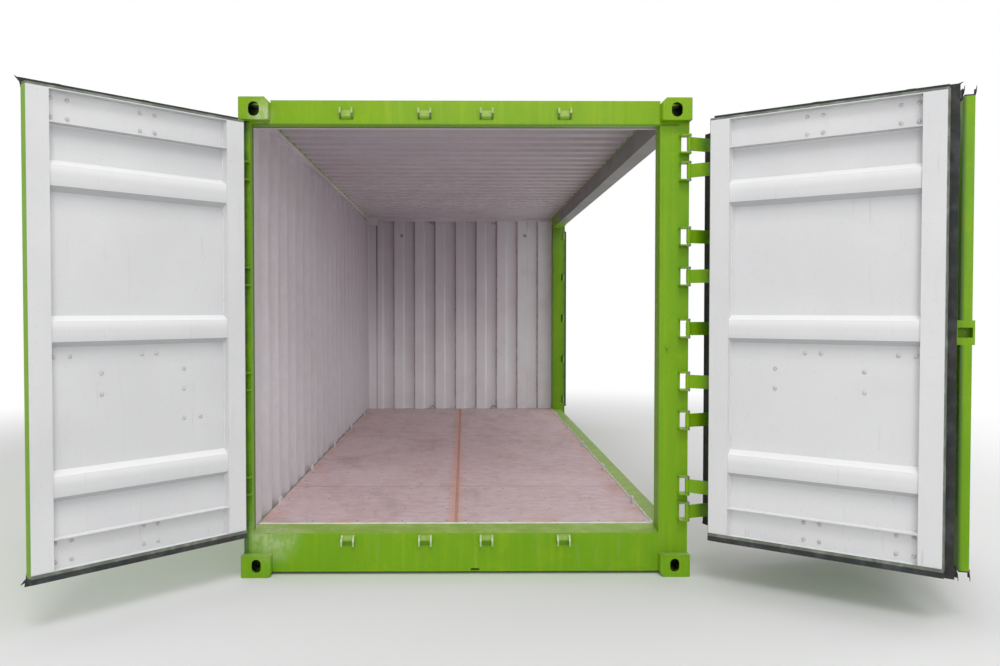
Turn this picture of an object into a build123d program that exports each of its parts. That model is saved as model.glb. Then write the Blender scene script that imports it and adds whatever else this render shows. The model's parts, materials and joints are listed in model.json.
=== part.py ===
from build123d import *
import os
from math import cos, radians, sin

os.makedirs("parts", exist_ok=True)

# Overall box: X runs along the length with the end doors at -X, the open side faces -Y
overall_length = 6058.0
overall_width = 2438.0
overall_height = 2591.0

# Cast corner fittings
fitting_length = 178.0
fitting_width = 162.0
fitting_height = 118.0
fitting_wall = 16.0
fitting_plate = 28.0
fitting_chamfer = 22.0
fitting_round = 10.0
slot_length = 124.0
slot_width = 63.5
slot_from_end = 102.5
slot_from_side = 89.5
top_hole_height = 78.0
top_hole_width = 60.0
bottom_hole_height = 72.0
bottom_hole_width = 50.0
end_hole_from_side = 84.0
side_hole_height = 76.0
side_hole_width = 51.0
hole_above_foot = 64.0

# Set-backs from the faces of the fittings
end_recess = 60.0
side_recess = 60.0
wall_recess = 6.0
rear_recess = 10.0
roof_drop = 6.0
base_lift = 17.0

# Corner posts
post_wall = 6.0
left_post_width = 45.0
left_post_depth = 100.0
flange_thickness = 8.0
flange_edge = 3.0
notch_land = 13.0
stub_radius = 8.0
stub_length = 24.0
stub_from_edge = 41.0
stub_level = 1247.0

# Rails, header and sill
rail_wall = 4.5
header_height = 133.0
header_depth = 110.0
sill_depth = 148.0
sill_front_top = 228.0
drain_width = 46.0
drain_height = 16.0
drain_shift = 50.0
side_rail_height = 155.0
small_rail = 60.0
left_rail_flange = 45.0
left_rail_bottom = 48.0
rear_rail_depth = 60.0

# Floor and its cross members
floor_top = 246.0
floor_thickness = 28.0
board_length = 2440.0
board_gap = 3.0
first_joint = 1046.0
centre_strip_width = 20.0
member_height = 122.0
member_width = 45.0
member_wall = 4.0
inner_member_pitch = 300.0
outer_member_gap = 60.0
outer_member_pitch = 375.0

# Forklift pockets
pocket_spacing = 2050.0
pocket_width = 352.0
pocket_height = 115.0
pocket_wall = 6.0

# Corrugated sheets
side_sheet = 1.6
side_pitch = 278.0
side_flat = 72.0
side_slope = 68.0
side_depth = 36.0
rear_sheet = 2.0
rear_pitch = 250.0
rear_flat = 104.0
rear_slope = 18.0
rear_depth = 43.0
roof_sheet = 2.0
roof_pitch = 209.0
roof_flat = 91.0
roof_slope = 13.5
roof_depth = 20.0
roof_clear = 3.0

# Door leaves
pin_inset = 15.0
leaf_set_back = 40.0
leaf_thickness = 50.0
stile_width = 100.0
stile_wall = 3.0
channel_height = 150.0
channel_wall = 4.0
panel_sheet = 2.0
panel_inset = 2.0
band_depth = 36.0
band_from_edge = 382.0
band_count = 3
band_flat = 94.0
band_slope = 24.0
leaf_gap = 8.0
meeting_gap = 14.0
end_leaf_bottom_gap = 45.0
end_leaf_top_gap = 17.0
side_leaf_bottom_gap = 12.0
side_leaf_top_gap = 12.0
fold_gap = 10.0

# Door seals: strips round the edges, and flaps that lap over the header, the sill and the side rails
seal_clear = 6.0
seal_from_front = 6.0
seal_hinge_strip = 2.0
seal_free_strip = 5.0
seal_lip_thickness = 3.0
seal_lip_height = 8.0
flap_thickness = 5.0
flap_seat = 10.0
flap_rise = 33.0
flap_drop = 48.0
side_flap_reach = 33.0
flap_tip = 8.0

# Hinges
pin_radius = 10.0
pin_fit = 0.1
fold_split = 2.0
knuckle_radius = 13.0
knuckle_height = 76.0
strap_height = 72.0
strap_thickness = 10.0
strap_ramp = 35.0
strap_foot = 90.0
strap_lead = 14.0
lug_thickness = 8.0
lug_gap = 86.0
pin_head = 3.0
end_hinge_from_top = 235.0
end_hinge_from_foot = 223.0
end_hinge_count = 4
side_hinge_from_top = 72.0
side_hinge_from_foot = 96.0
side_hinge_count = 5

# Lock rods, cams, keepers and handles
rod_radius = 17.0
rod_wall = 3.0
rod_in_front = 27.0
rod_from_meeting = 161.0
rod_spacing = 423.0
side_rod_from_edge = 250.0
rod_past_top = 37.0
rod_past_foot = 46.0
cam_length = 38.0
cam_depth = 34.0
cam_height = 32.0
keeper_base = 6.0
keeper_jaw = 10.0
keeper_reach = 36.0
keeper_height = 56.0
keeper_slope = 28.0
keeper_gap = 8.0
keeper_from_edge = 60.0
sill_keeper_from_edge = 38.0
bracket_width = 100.0
bracket_height = 100.0
bracket_plate = 6.0
clamp_width = 46.0
clamp_height = 30.0
bracket_edge = 78.0
middle_bracket_height = 60.0
middle_bracket_level = 1238.0
handle_level = 1105.0
handle_length = 385.0
handle_height = 34.0
handle_thickness = 12.0
handle_clear = 3.0
hub_width = 50.0
hub_wall = 4.0
retainer_offset = 184.0
retainer_width = 60.0
retainer_height = 140.0
retainer_plate = 6.0

# Lock box on the free edge of the front folding pair
lock_box_level = 1348.0
lock_box_height = 112.0
lock_box_depth = 79.0
lock_box_length = 60.0
lock_box_past_leaf = 11.0
lock_box_hole_height = 46.0
lock_box_hole_width = 61.0
lock_box_wall = 6.0

# Lashing rings
ring_bar = 5.0
ring_height = 40.0
ring_width = 60.0
ring_count = 5
ring_reach = 2300.0
ring_stand = 10.0

# How far each door stands open, from closed
left_open = 132.6
right_open = 142.7
front_pair_open = 68.7
front_pair_fold = 130.9
rear_pair_open = 191.0
rear_pair_fold = 160.0

# Places that several pieces share
half_length = overall_length / 2
half_width = overall_width / 2
face_x = end_recess - half_length
rear_face_x = half_length - rear_recess
face_y = side_recess - half_width
left_y = half_width - wall_recess
fitting_inner_y = half_width - fitting_width
fitting_inner_x = half_length - fitting_length
inner_right = -fitting_inner_y
inner_left = left_y - left_post_width
roof_top = overall_height - roof_drop
header_bottom = roof_top - header_height
side_rail_bottom = roof_top - side_rail_height
top_fitting_z = overall_height - fitting_height
pin_x = half_length - pin_inset
pin_y = half_width - pin_inset
floor_bottom = floor_top - floor_thickness
sill_back_x = face_x + sill_depth
header_back_x = face_x + header_depth
side_post_back_x = -fitting_inner_x
rear_rail_x = rear_face_x - rear_rail_depth
left_rail_inner = left_y - left_rail_flange
top_rail_inner = left_y - small_rail
opening_centre = (inner_left + inner_right) / 2
end_leaf_width = (inner_left - inner_right - meeting_gap) / 2 - leaf_gap
end_leaf_base = sill_front_top + end_leaf_bottom_gap
end_leaf_height = header_bottom - end_leaf_top_gap - end_leaf_base
side_leaf_start = pin_x + side_post_back_x + leaf_gap
side_leaf_width = (pin_x - meeting_gap / 2 - side_leaf_start - fold_gap) / 2
side_leaf_base = floor_top + side_leaf_bottom_gap
side_leaf_height = side_rail_bottom - side_leaf_top_gap - side_leaf_base
left_leaf_start = pin_y - inner_left + leaf_gap
right_leaf_start = pin_y + inner_right + leaf_gap
pocket_top = left_rail_bottom + pocket_height + 2 * pocket_wall


def block(x0, x1, y0, y1, z0, z1, mode=Mode.ADD):
    with Locations(((x0 + x1) / 2, (y0 + y1) / 2, (z0 + z1) / 2)):
        Box(abs(x1 - x0), abs(y1 - y0), abs(z1 - z0), mode=mode)


def tube_along_x(x0, x1, y0, y1, z0, z1, wall):
    with BuildSketch(Plane.YZ.offset(x0)) as section:
        with Locations(((y0 + y1) / 2, (z0 + z1) / 2)):
            Rectangle(y1 - y0, z1 - z0)
            Rectangle(y1 - y0 - 2 * wall, z1 - z0 - 2 * wall, mode=Mode.SUBTRACT)
    extrude(section.sketch, amount=x1 - x0)


def tube_upright(x0, x1, y0, y1, z0, z1, wall):
    with BuildSketch(Plane.XY.offset(z0)) as section:
        with Locations(((x0 + x1) / 2, (y0 + y1) / 2)):
            Rectangle(x1 - x0, y1 - y0)
            Rectangle(x1 - x0 - 2 * wall, y1 - y0 - 2 * wall, mode=Mode.SUBTRACT)
    extrude(section.sketch, amount=z1 - z0)


def wave(first, last, pitch, flat, slope, depth, sheet):
    """Outline of a trapezoidal sheet from first to last, with whole waves centred between them."""
    count = int((last - first) // pitch)
    start = (first + last - count * pitch) / 2
    inner_flat = pitch - flat - 2 * slope
    line = [(first, 0.0)]
    for i in range(count):
        at = start + i * pitch + flat / 2
        line += [(at, 0.0), (at + slope, depth), (at + slope + inner_flat, depth)]
        line += [(at + 2 * slope + inner_flat, 0.0)]
    line.append((last, 0.0))
    return line + [(a, b + sheet) for a, b in reversed(line)]


def corner_casting(foot, slot_face, inward, hole_height, hole_width):
    """Hollow casting of the +X +Y corner, with its slotted plate at slot_face."""
    middle_x = half_length - fitting_length / 2
    middle_y = half_width - fitting_width / 2
    cavity_height = fitting_height - fitting_plate - fitting_wall
    hole_level = slot_face + inward * hole_above_foot
    with BuildPart() as casting:
        with BuildSketch(Plane.XY.offset(foot)):
            with Locations((middle_x, middle_y)):
                Rectangle(fitting_length, fitting_width)
        extrude(amount=fitting_height)
        slotted = casting.faces().sort_by(Axis.Z, reverse=inward < 0)[0]
        chamfer(slotted.edges().filter_by(Axis.X).sort_by(Axis.Y)[0], fitting_chamfer)
        fillet(casting.edges().filter_by(Axis.Z).group_by(Axis.X)[-1], fitting_round)
        with Locations((middle_x, middle_y, slot_face + inward * (fitting_plate + cavity_height / 2))):
            Box(fitting_length - 2 * fitting_wall, fitting_width - 2 * fitting_wall, cavity_height,
                mode=Mode.SUBTRACT)
        with BuildSketch(Plane.XY.offset(slot_face)):
            with Locations((half_length - slot_from_end, half_width - slot_from_side)):
                SlotOverall(slot_length, slot_width)
        extrude(amount=inward * fitting_plate, mode=Mode.SUBTRACT)
        with BuildSketch(Plane.YZ.offset(half_length)):
            with Locations((half_width - end_hole_from_side, hole_level)):
                SlotOverall(hole_height, hole_width, rotation=90)
        extrude(amount=-fitting_wall, mode=Mode.SUBTRACT)
        with BuildSketch(Plane.XZ.offset(-half_width)):
            with Locations((half_length - slot_from_end, hole_level)):
                SlotOverall(side_hole_height, side_hole_width, rotation=90)
        extrude(amount=fitting_wall, mode=Mode.SUBTRACT)
    return casting.part


def spread(first, last, count):
    """Evenly spaced places from first to last."""
    return [first + (last - first) * i / (count - 1) for i in range(count)]


def pin_lugs(x_face, y_face, x_pin, y_pin, levels):
    """Pairs of plates that reach from a post round a hinge pin, bored for it."""
    feet = [z + shift for z in levels for shift in (-lug_gap / 2 - lug_thickness, lug_gap / 2)]
    y_tip = y_pin + (knuckle_radius if y_pin > 0 else -knuckle_radius)
    x_tip = x_pin + (knuckle_radius if x_pin > 0 else -knuckle_radius)
    with BuildSketch(*[Plane.XY.offset(z) for z in feet]) as lugs:
        with Locations(((x_face + x_pin) / 2, (y_face + y_tip) / 2)):
            Rectangle(abs(x_pin - x_face), abs(y_tip - y_face))
        with Locations(((x_face + x_tip) / 2, (y_face + y_pin) / 2)):
            Rectangle(abs(x_tip - x_face), abs(y_pin - y_face))
        with Locations((x_pin, y_pin)):
            Circle(knuckle_radius)
            Circle(pin_radius, mode=Mode.SUBTRACT)
    extrude(lugs.sketch, amount=lug_thickness)


def flange_notches(x_face, levels):
    """Notches through the flange of a post, where the hinge blades swing."""
    edge = flange_edge - half_width
    with BuildSketch(Plane.YZ.offset(x_face)) as notches:
        with Locations([((edge + face_y - notch_land) / 2, z) for z in levels]):
            Rectangle(face_y - notch_land - edge, lug_gap)
    extrude(notches.sketch, amount=flange_thickness, mode=Mode.SUBTRACT)


# Corner fittings
end_levels = spread(end_leaf_base + end_hinge_from_foot, end_leaf_base + end_leaf_height - end_hinge_from_top,
                    end_hinge_count)
side_levels = spread(side_leaf_base + side_hinge_from_foot, side_leaf_base + side_leaf_height - side_hinge_from_top,
                     side_hinge_count)

bottom_casting = corner_casting(0.0, 0.0, 1, bottom_hole_height, bottom_hole_width)
with BuildPart() as bottom_corner_fittings:
    add(bottom_casting)
    mirror(about=Plane.YZ)
    mirror(about=Plane.XZ)

top_casting = corner_casting(top_fitting_z, overall_height, -1, top_hole_height, top_hole_width)
with BuildPart() as top_corner_fittings:
    add(top_casting)
    mirror(about=Plane.YZ)
    mirror(about=Plane.XZ)

# Posts, with the lugs that carry the hinge pins
with BuildPart() as left_front_post:
    tube_upright(face_x, face_x + left_post_depth, inner_left, left_y, fitting_height, top_fitting_z, post_wall)
    pin_lugs(face_x, inner_left, -pin_x, pin_y, end_levels)

with BuildPart() as right_front_post:
    tube_upright(face_x, side_post_back_x, face_y, inner_right, fitting_height, top_fitting_z, post_wall)
    block(face_x, face_x + flange_thickness, flange_edge - half_width, face_y, fitting_height, top_fitting_z)
    flange_notches(face_x, end_levels + side_levels)
    pin_lugs(face_x, face_y, -pin_x, -pin_y, end_levels + side_levels)
    with BuildSketch(Plane.YZ.offset(face_x)):
        with Locations((inner_right - stub_from_edge, stub_level)):
            Circle(stub_radius)
    extrude(amount=-stub_length)

with BuildPart() as left_rear_post:
    tube_upright(rear_face_x - left_post_depth, rear_face_x, inner_left, left_y, fitting_height, top_fitting_z,
                 post_wall)

with BuildPart() as right_rear_post:
    tube_upright(-side_post_back_x, rear_face_x, face_y, inner_right, fitting_height, top_fitting_z, post_wall)
    block(-face_x - flange_thickness, -face_x, flange_edge - half_width, face_y, fitting_height, top_fitting_z)
    flange_notches(-face_x - flange_thickness, side_levels)
    pin_lugs(-face_x, face_y, pin_x, -pin_y, side_levels)

# Door header and sill, hollow, with solid toes where they pass under or over the fittings
with BuildPart() as door_header:
    with BuildSketch(Plane.XZ.offset(-inner_right)):
        with Locations(((face_x + header_back_x) / 2, (header_bottom + roof_top) / 2)):
            Rectangle(header_depth, roof_top - header_bottom)
            Rectangle(header_depth - 2 * rail_wall, roof_top - header_bottom - 2 * rail_wall, mode=Mode.SUBTRACT)
    extrude(amount=-2 * fitting_inner_y)
    block(face_x, header_back_x, fitting_inner_y, inner_left, header_bottom, top_fitting_z)

with BuildPart() as door_sill:
    sill_outline = [(face_x, base_lift), (sill_back_x, base_lift), (sill_back_x, floor_top), (face_x, sill_front_top)]
    sill_hollow = [
        (face_x + rail_wall, base_lift + rail_wall),
        (sill_back_x - rail_wall, base_lift + rail_wall),
        (sill_back_x - rail_wall, floor_top - rail_wall),
        (face_x + rail_wall, sill_front_top - rail_wall),
    ]
    with BuildSketch(Plane.XZ.offset(-inner_right)):
        Polygon(*sill_outline, align=None)
        Polygon(*sill_hollow, align=None, mode=Mode.SUBTRACT)
    extrude(amount=-2 * fitting_inner_y)
    block(face_x, face_x + left_post_depth, fitting_inner_y, inner_left, fitting_height, sill_front_top)
    block(face_x, face_x + rail_wall, -drain_width / 2 - drain_shift, drain_width / 2 - drain_shift, base_lift,
          base_lift + drain_height, mode=Mode.SUBTRACT)

# Rear rails
with BuildPart() as rear_top_rail:
    with BuildSketch(Plane.XZ.offset(-fitting_inner_y)):
        with Locations(((rear_rail_x + rear_face_x) / 2, roof_top - small_rail / 2)):
            Rectangle(rear_rail_depth, small_rail)
            Rectangle(rear_rail_depth - 2 * rail_wall, small_rail - 2 * rail_wall, mode=Mode.SUBTRACT)
    extrude(amount=2 * fitting_inner_y)

with BuildPart() as rear_bottom_rail:
    with BuildSketch(Plane.XZ.offset(-fitting_inner_y)):
        with Locations(((rear_rail_x + rear_face_x) / 2, (base_lift + floor_top) / 2)):
            Rectangle(rear_rail_depth, floor_top - base_lift)
            Rectangle(rear_rail_depth - 2 * rail_wall, floor_top - base_lift - 2 * rail_wall, mode=Mode.SUBTRACT)
    extrude(amount=fitting_inner_y - inner_right)
    block(rear_rail_x, rear_face_x, fitting_inner_y, inner_left, fitting_height, floor_top)

# Side rails
with BuildPart() as left_top_rail:
    tube_along_x(-fitting_inner_x, fitting_inner_x, top_rail_inner, left_y, roof_top - small_rail, roof_top,
                 rail_wall)

with BuildPart() as right_top_rail:
    tube_along_x(side_post_back_x, -side_post_back_x, face_y, inner_right, side_rail_bottom, roof_top, rail_wall)

with BuildPart() as left_bottom_rail:
    block(-fitting_inner_x, fitting_inner_x, left_rail_inner, left_y, left_rail_bottom, floor_bottom)
    block(-fitting_inner_x, fitting_inner_x, left_rail_inner, left_y - rail_wall, left_rail_bottom + rail_wall,
          floor_bottom - rail_wall, mode=Mode.SUBTRACT)
    for side in (-1, 1):
        middle = side * pocket_spacing / 2
        half_pocket = pocket_width / 2 + pocket_wall
        block(middle - half_pocket, middle + half_pocket, left_rail_inner, left_y, left_rail_bottom, pocket_top,
              mode=Mode.SUBTRACT)

with BuildPart() as right_bottom_rail:
    tube_along_x(side_post_back_x, -side_post_back_x, face_y, inner_right, base_lift, floor_top, rail_wall)
    for side in (-1, 1):
        middle = side * pocket_spacing / 2
        half_pocket = pocket_width / 2 + pocket_wall
        block(middle - half_pocket, middle + half_pocket, face_y, inner_right, left_rail_bottom, pocket_top,
              mode=Mode.SUBTRACT)

# Forklift pockets through both bottom rails
with BuildPart() as forklift_pockets:
    with BuildSketch(Plane.XZ.offset(-face_y)):
        with Locations([(s * pocket_spacing / 2, (left_rail_bottom + pocket_top) / 2) for s in (-1, 1)]):
            Rectangle(pocket_width + 2 * pocket_wall, pocket_height + 2 * pocket_wall)
            Rectangle(pocket_width, pocket_height, mode=Mode.SUBTRACT)
    extrude(amount=face_y - left_y)

# Cross members under the floor, open to the rear
pocket_edge = (pocket_spacing + pocket_width) / 2 + pocket_wall
outer_start = pocket_edge + outer_member_gap + member_width / 2
inner_members = int((pocket_spacing - pocket_width) // inner_member_pitch) + 1
outer_members = int((-sill_back_x - member_width / 2 - outer_start) // outer_member_pitch) + 1
member_places = [(i - (inner_members - 1) / 2) * inner_member_pitch for i in range(inner_members)]
for i in range(outer_members):
    member_places += [s * (outer_start + i * outer_member_pitch) for s in (-1, 1)]
with BuildPart() as cross_members:
    with BuildSketch(Plane.XZ.offset(-inner_right)):
        with Locations([(x, floor_bottom - member_height / 2) for x in member_places]):
            Rectangle(member_width, member_height)
        with Locations([(x + member_wall / 2, floor_bottom - member_height / 2) for x in member_places]):
            Rectangle(member_width - member_wall, member_height - 2 * member_wall, mode=Mode.SUBTRACT)
    extrude(amount=inner_right - left_rail_inner)

# Floor boards in two rows either side of a steel strip
strip_left = opening_centre + centre_strip_width / 2
strip_right = opening_centre - centre_strip_width / 2
floor_left = inner_left
board_ends = [sill_back_x, sill_back_x + first_joint, sill_back_x + first_joint + board_length, rear_rail_x]
with BuildPart() as floor_boards:
    for i in range(len(board_ends) - 1):
        start_gap = board_gap / 2 if i else 0.0
        end_gap = board_gap / 2 if i < len(board_ends) - 2 else 0.0
        for low, high in ((inner_right, strip_right), (strip_left, floor_left)):
            block(board_ends[i] + start_gap, board_ends[i + 1] - end_gap, low, high, floor_bottom, floor_top)

with BuildPart() as floor_centre_strip:
    block(sill_back_x, rear_rail_x, strip_right, strip_left, floor_bottom, floor_top)

# Corrugated roof, side wall and rear wall
with BuildPart() as roof_panel:
    outline = wave(header_back_x, rear_rail_x, roof_pitch, roof_flat, roof_slope, roof_depth, roof_sheet)
    with BuildSketch(Plane.XZ.offset(-inner_right)):
        with Locations((0, roof_top - roof_clear - roof_depth - roof_sheet)):
            Polygon(*outline, align=None)
    extrude(amount=inner_right - top_rail_inner)
    for side in (-1, 1):
        block(side * fitting_inner_x, side * half_length, fitting_inner_y, half_width, top_fitting_z, overall_height,
              mode=Mode.SUBTRACT)

with BuildPart() as left_side_wall:
    outline = wave(face_x + left_post_depth, rear_face_x - left_post_depth, side_pitch, side_flat, side_slope,
                   side_depth, side_sheet)
    with BuildSketch(Plane.XY.offset(floor_bottom)):
        with Locations((0, left_y - side_depth - side_sheet)):
            Polygon(*outline, align=None)
    extrude(amount=roof_top - small_rail - floor_bottom)
    for side in (-1, 1):
        block(side * fitting_inner_x, side * half_length, fitting_inner_y, half_width, top_fitting_z, overall_height,
              mode=Mode.SUBTRACT)

with BuildPart() as rear_wall:
    outline = wave(inner_right, inner_left, rear_pitch, rear_flat, rear_slope, rear_depth, rear_sheet)
    with BuildSketch(Plane.XY.offset(floor_top)):
        Polygon(*[(rear_face_x - wall_recess - rear_sheet - rear_depth + b, a) for a, b in outline], align=None)
    extrude(amount=roof_top - small_rail - floor_top)
    block(fitting_inner_x, half_length, fitting_inner_y, half_width, top_fitting_z, overall_height,
          mode=Mode.SUBTRACT)


def door_plane(x_pin, y_pin, angle):
    """Plane on a hinge axis: its X runs along the leaf, Z is up."""
    turn = radians(angle)
    return Plane(origin=(x_pin, y_pin, 0), x_dir=(cos(turn), sin(turn), 0), z_dir=(0, 0, 1))


def section_plane(place, along):
    """Upright plane across a leaf: its X runs through the thickness, Y is up."""
    origin = place.origin + place.x_dir * along
    return Plane(origin=origin, x_dir=place.y_dir, z_dir=place.x_dir)


def leaf_frame(place, hand, start, width, base, height):
    """Tube stiles with a channel across the bottom and the top, open to the inside."""
    middle = hand * (leaf_set_back + leaf_thickness / 2)
    with BuildSketch(place.offset(base)) as stiles:
        with Locations([(start + stile_width / 2, middle), (start + width - stile_width / 2, middle)]):
            Rectangle(stile_width, leaf_thickness)
            Rectangle(stile_width - 2 * stile_wall, leaf_thickness - 2 * stile_wall, mode=Mode.SUBTRACT)
    extrude(stiles.sketch, amount=height)
    levels = (base + channel_height / 2, base + height - channel_height / 2)
    with BuildSketch(section_plane(place, start + stile_width)) as channels:
        with Locations([(middle, level) for level in levels]):
            Rectangle(leaf_thickness, channel_height)
        with Locations([(middle + hand * channel_wall / 2, level) for level in levels]):
            Rectangle(leaf_thickness - channel_wall, channel_height - 2 * channel_wall, mode=Mode.SUBTRACT)
    extrude(channels.sketch, amount=width - 2 * stile_width)


def leaf_panel(place, hand, start, width, base, height):
    """Sheet with raised bands that run across the leaf between its stiles."""
    outer = leaf_set_back + panel_inset
    line = [(outer, base + channel_height)]
    for middle in spread(base + band_from_edge, base + height - band_from_edge, band_count):
        line += [(outer, middle - band_flat / 2 - band_slope), (outer + band_depth, middle - band_flat / 2)]
        line += [(outer + band_depth, middle + band_flat / 2), (outer, middle + band_flat / 2 + band_slope)]
    line.append((outer, base + height - channel_height))
    outline = line + [(d + panel_sheet, z) for d, z in reversed(line)]
    with BuildSketch(section_plane(place, start + stile_width)) as profile:
        Polygon(*[(hand * d, z) for d, z in outline], align=None)
    extrude(profile.sketch, amount=width - 2 * stile_width)


def side_plane(place, hand, depth):
    """Upright plane along a leaf, at a depth from its hinge axis: its X runs along the leaf, Y is up."""
    return Plane(origin=place.origin + place.y_dir * hand * depth, x_dir=place.x_dir, z_dir=-place.y_dir)


def leaf_seal(place, hand, start, width, base, height, below, above, free_strip=0.0):
    """Strips on the edges of a leaf, with a lip up its inner face at the foot."""
    low, high = base - below, base + height + above
    first, last = start - seal_hinge_strip, start + width + free_strip
    inner_face = leaf_set_back + leaf_thickness
    with BuildSketch(side_plane(place, hand, leaf_set_back + seal_from_front)) as ring:
        with Locations(((first + last) / 2, (low + high) / 2)):
            Rectangle(last - first, high - low)
        with Locations((start + width / 2, base + height / 2)):
            Rectangle(width, height, mode=Mode.SUBTRACT)
    extrude(ring.sketch, amount=-hand * (leaf_thickness - seal_from_front))
    with BuildSketch(side_plane(place, hand, inner_face)) as lip:
        with Locations(((first + last) / 2, (low + base + seal_lip_height) / 2)):
            Rectangle(last - first, base + seal_lip_height - low)
    extrude(lip.sketch, amount=-hand * seal_lip_thickness)


def leaf_flaps(place, hand, start, width, base, height, rise, drop, tip=0.0):
    """Flat flaps on the outer face that stand past the foot and the top of a leaf."""
    end = start + width
    with BuildSketch(side_plane(place, hand, leaf_set_back)) as flaps:
        for edge, reach in ((base, -1), (base + height, 1)):
            past = rise if reach > 0 else drop
            outline = [(start, edge - reach * flap_seat), (end, edge - reach * flap_seat), (end, edge)]
            outline += [(end + tip, edge + reach * past), (start, edge + reach * past)]
            Polygon(*outline, align=None)
    extrude(flaps.sketch, amount=hand * flap_thickness)


def hinge_blade(place, hand, ramp_start, low, high, side=1):
    """Bent strap and knuckle between two heights, bored for the pin, on one side of it."""
    half = strap_thickness / 2
    back = leaf_set_back - strap_thickness
    foot = ramp_start + strap_ramp + strap_foot
    points = [(0, -half), (ramp_start + half, -half), (ramp_start + half + strap_ramp, back), (foot, back)]
    points += [(foot, leaf_set_back), (ramp_start + strap_ramp, leaf_set_back), (ramp_start, half), (0, half)]
    with BuildSketch(place.offset(low)) as blade:
        Polygon(*[(side * a, hand * b) for a, b in points], align=None)
        Circle(knuckle_radius)
        Circle(pin_radius + pin_fit, mode=Mode.SUBTRACT)
    extrude(blade.sketch, amount=high - low)


def post_hinges(place, hand, start, levels):
    for level in levels:
        hinge_blade(place, hand, start - strap_lead, level - strap_height / 2, level + strap_height / 2)


def lock_rods(place, hand, rods, low, high):
    """Tube rods with a cam block at each end."""
    centres = [(u, hand * (leaf_set_back - rod_in_front)) for u in rods]
    with BuildSketch(place.offset(low)) as tubes:
        with Locations(centres):
            Circle(rod_radius)
            Circle(rod_radius - rod_wall, mode=Mode.SUBTRACT)
    extrude(tubes.sketch, amount=high - low)
    for level in (low, high - cam_height):
        with BuildSketch(place.offset(level)) as cams:
            with Locations(centres):
                Rectangle(cam_length, cam_depth)
        extrude(cams.sketch, amount=cam_height)


def rod_fittings(place, hand, rods, base, height):
    """Rod brackets on a leaf, and a handle with its hub and retainer at each rod."""
    rod_depth = leaf_set_back - rod_in_front
    recess = leaf_set_back + panel_inset
    clamp_front = rod_depth - rod_radius - bracket_plate
    grip_back = rod_depth - rod_radius - handle_clear
    hub_front = grip_back - handle_thickness
    hub_back = rod_depth + rod_radius + hub_wall
    for level, tall, seat in (
        (base + bracket_edge, bracket_height, leaf_set_back),
        (base + height - bracket_edge, bracket_height, leaf_set_back),
        (middle_bracket_level, middle_bracket_height, recess),
    ):
        with BuildSketch(place.offset(level - tall / 2)) as plates:
            with Locations([(u, hand * (seat - bracket_plate / 2)) for u in rods]):
                Rectangle(bracket_width, bracket_plate)
        extrude(plates.sketch, amount=tall)
        with BuildSketch(place.offset(level - clamp_height / 2)) as clamps:
            with Locations([(u, hand * (clamp_front + seat - bracket_plate) / 2) for u in rods]):
                Rectangle(clamp_width, seat - bracket_plate - clamp_front)
            with Locations([(u, hand * rod_depth) for u in rods]):
                Circle(rod_radius + pin_fit, mode=Mode.SUBTRACT)
        extrude(clamps.sketch, amount=clamp_height)
    with BuildSketch(place.offset(handle_level - handle_height / 2)) as handles:
        with Locations([(u, hand * (hub_front + hub_back) / 2) for u in rods]):
            Rectangle(hub_width, hub_back - hub_front)
        with Locations([(u - handle_length / 2, hand * (grip_back - handle_thickness / 2)) for u in rods]):
            Rectangle(handle_length, handle_thickness)
        with Locations([(u, hand * rod_depth) for u in rods]):
            Circle(rod_radius, mode=Mode.SUBTRACT)
    extrude(handles.sketch, amount=handle_height)
    with BuildSketch(place.offset(handle_level - retainer_height / 2)) as plates:
        with Locations([(u - retainer_offset, hand * (recess - retainer_plate / 2)) for u in rods]):
            Rectangle(retainer_width, retainer_plate)
    extrude(plates.sketch, amount=retainer_height)
    with BuildSketch(place.offset(handle_level - handle_height / 2)) as rests:
        with Locations([(u - retainer_offset, hand * (grip_back + recess - retainer_plate) / 2) for u in rods]):
            Rectangle(retainer_width, recess - retainer_plate - grip_back)
    extrude(rests.sketch, amount=handle_height)


def keepers(spots, outward, along, levels):
    """Keepers for the rod cams: a base with two jaws, sloped where the cam slides in."""
    for level, flip in levels:
        low, high = -keeper_height / 2, keeper_height / 2
        jaw = [(0, low), (keeper_reach, low), (keeper_reach, high - keeper_slope), (keeper_base, high), (0, high)]
        planes = [Plane(origin=spot, x_dir=outward, z_dir=along) for spot in spots]
        jaw_planes = [plane.offset(side * (keeper_half + keeper_jaw / 2)) for plane in planes for side in (-1, 1)]
        with BuildSketch(*jaw_planes) as jaws:
            Polygon(*[(a, level + flip * b) for a, b in jaw], align=None)
        extrude(jaws.sketch, amount=keeper_jaw / 2, both=True)
        with BuildSketch(*planes) as bases:
            with Locations((keeper_base / 2, level)):
                Rectangle(keeper_base, keeper_height)
        extrude(bases.sketch, amount=keeper_half, both=True)


# End doors on the corner pins
left_place = door_plane(-pin_x, pin_y, -90 - left_open)
right_place = door_plane(-pin_x, -pin_y, 90 + right_open)
left_leaf = (left_place, 1, left_leaf_start, end_leaf_width, end_leaf_base, end_leaf_height)
right_leaf = (right_place, -1, right_leaf_start, end_leaf_width, end_leaf_base, end_leaf_height)
end_keeper_low = sill_front_top - sill_keeper_from_edge
end_keeper_high = header_bottom + keeper_from_edge
end_rod_low = end_leaf_base - rod_past_foot
end_rod_high = end_leaf_base + end_leaf_height + rod_past_top
left_rods = [left_leaf_start + end_leaf_width - rod_from_meeting - rod_spacing * i for i in range(2)]
right_rods = [right_leaf_start + end_leaf_width - rod_from_meeting - rod_spacing * i for i in range(2)]
seal_below = end_leaf_bottom_gap - 2 * seal_clear
seal_above = end_leaf_top_gap - seal_clear

with BuildPart() as left_door_frame:
    leaf_frame(*left_leaf)

with BuildPart() as left_door_panel:
    leaf_panel(*left_leaf)

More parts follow.
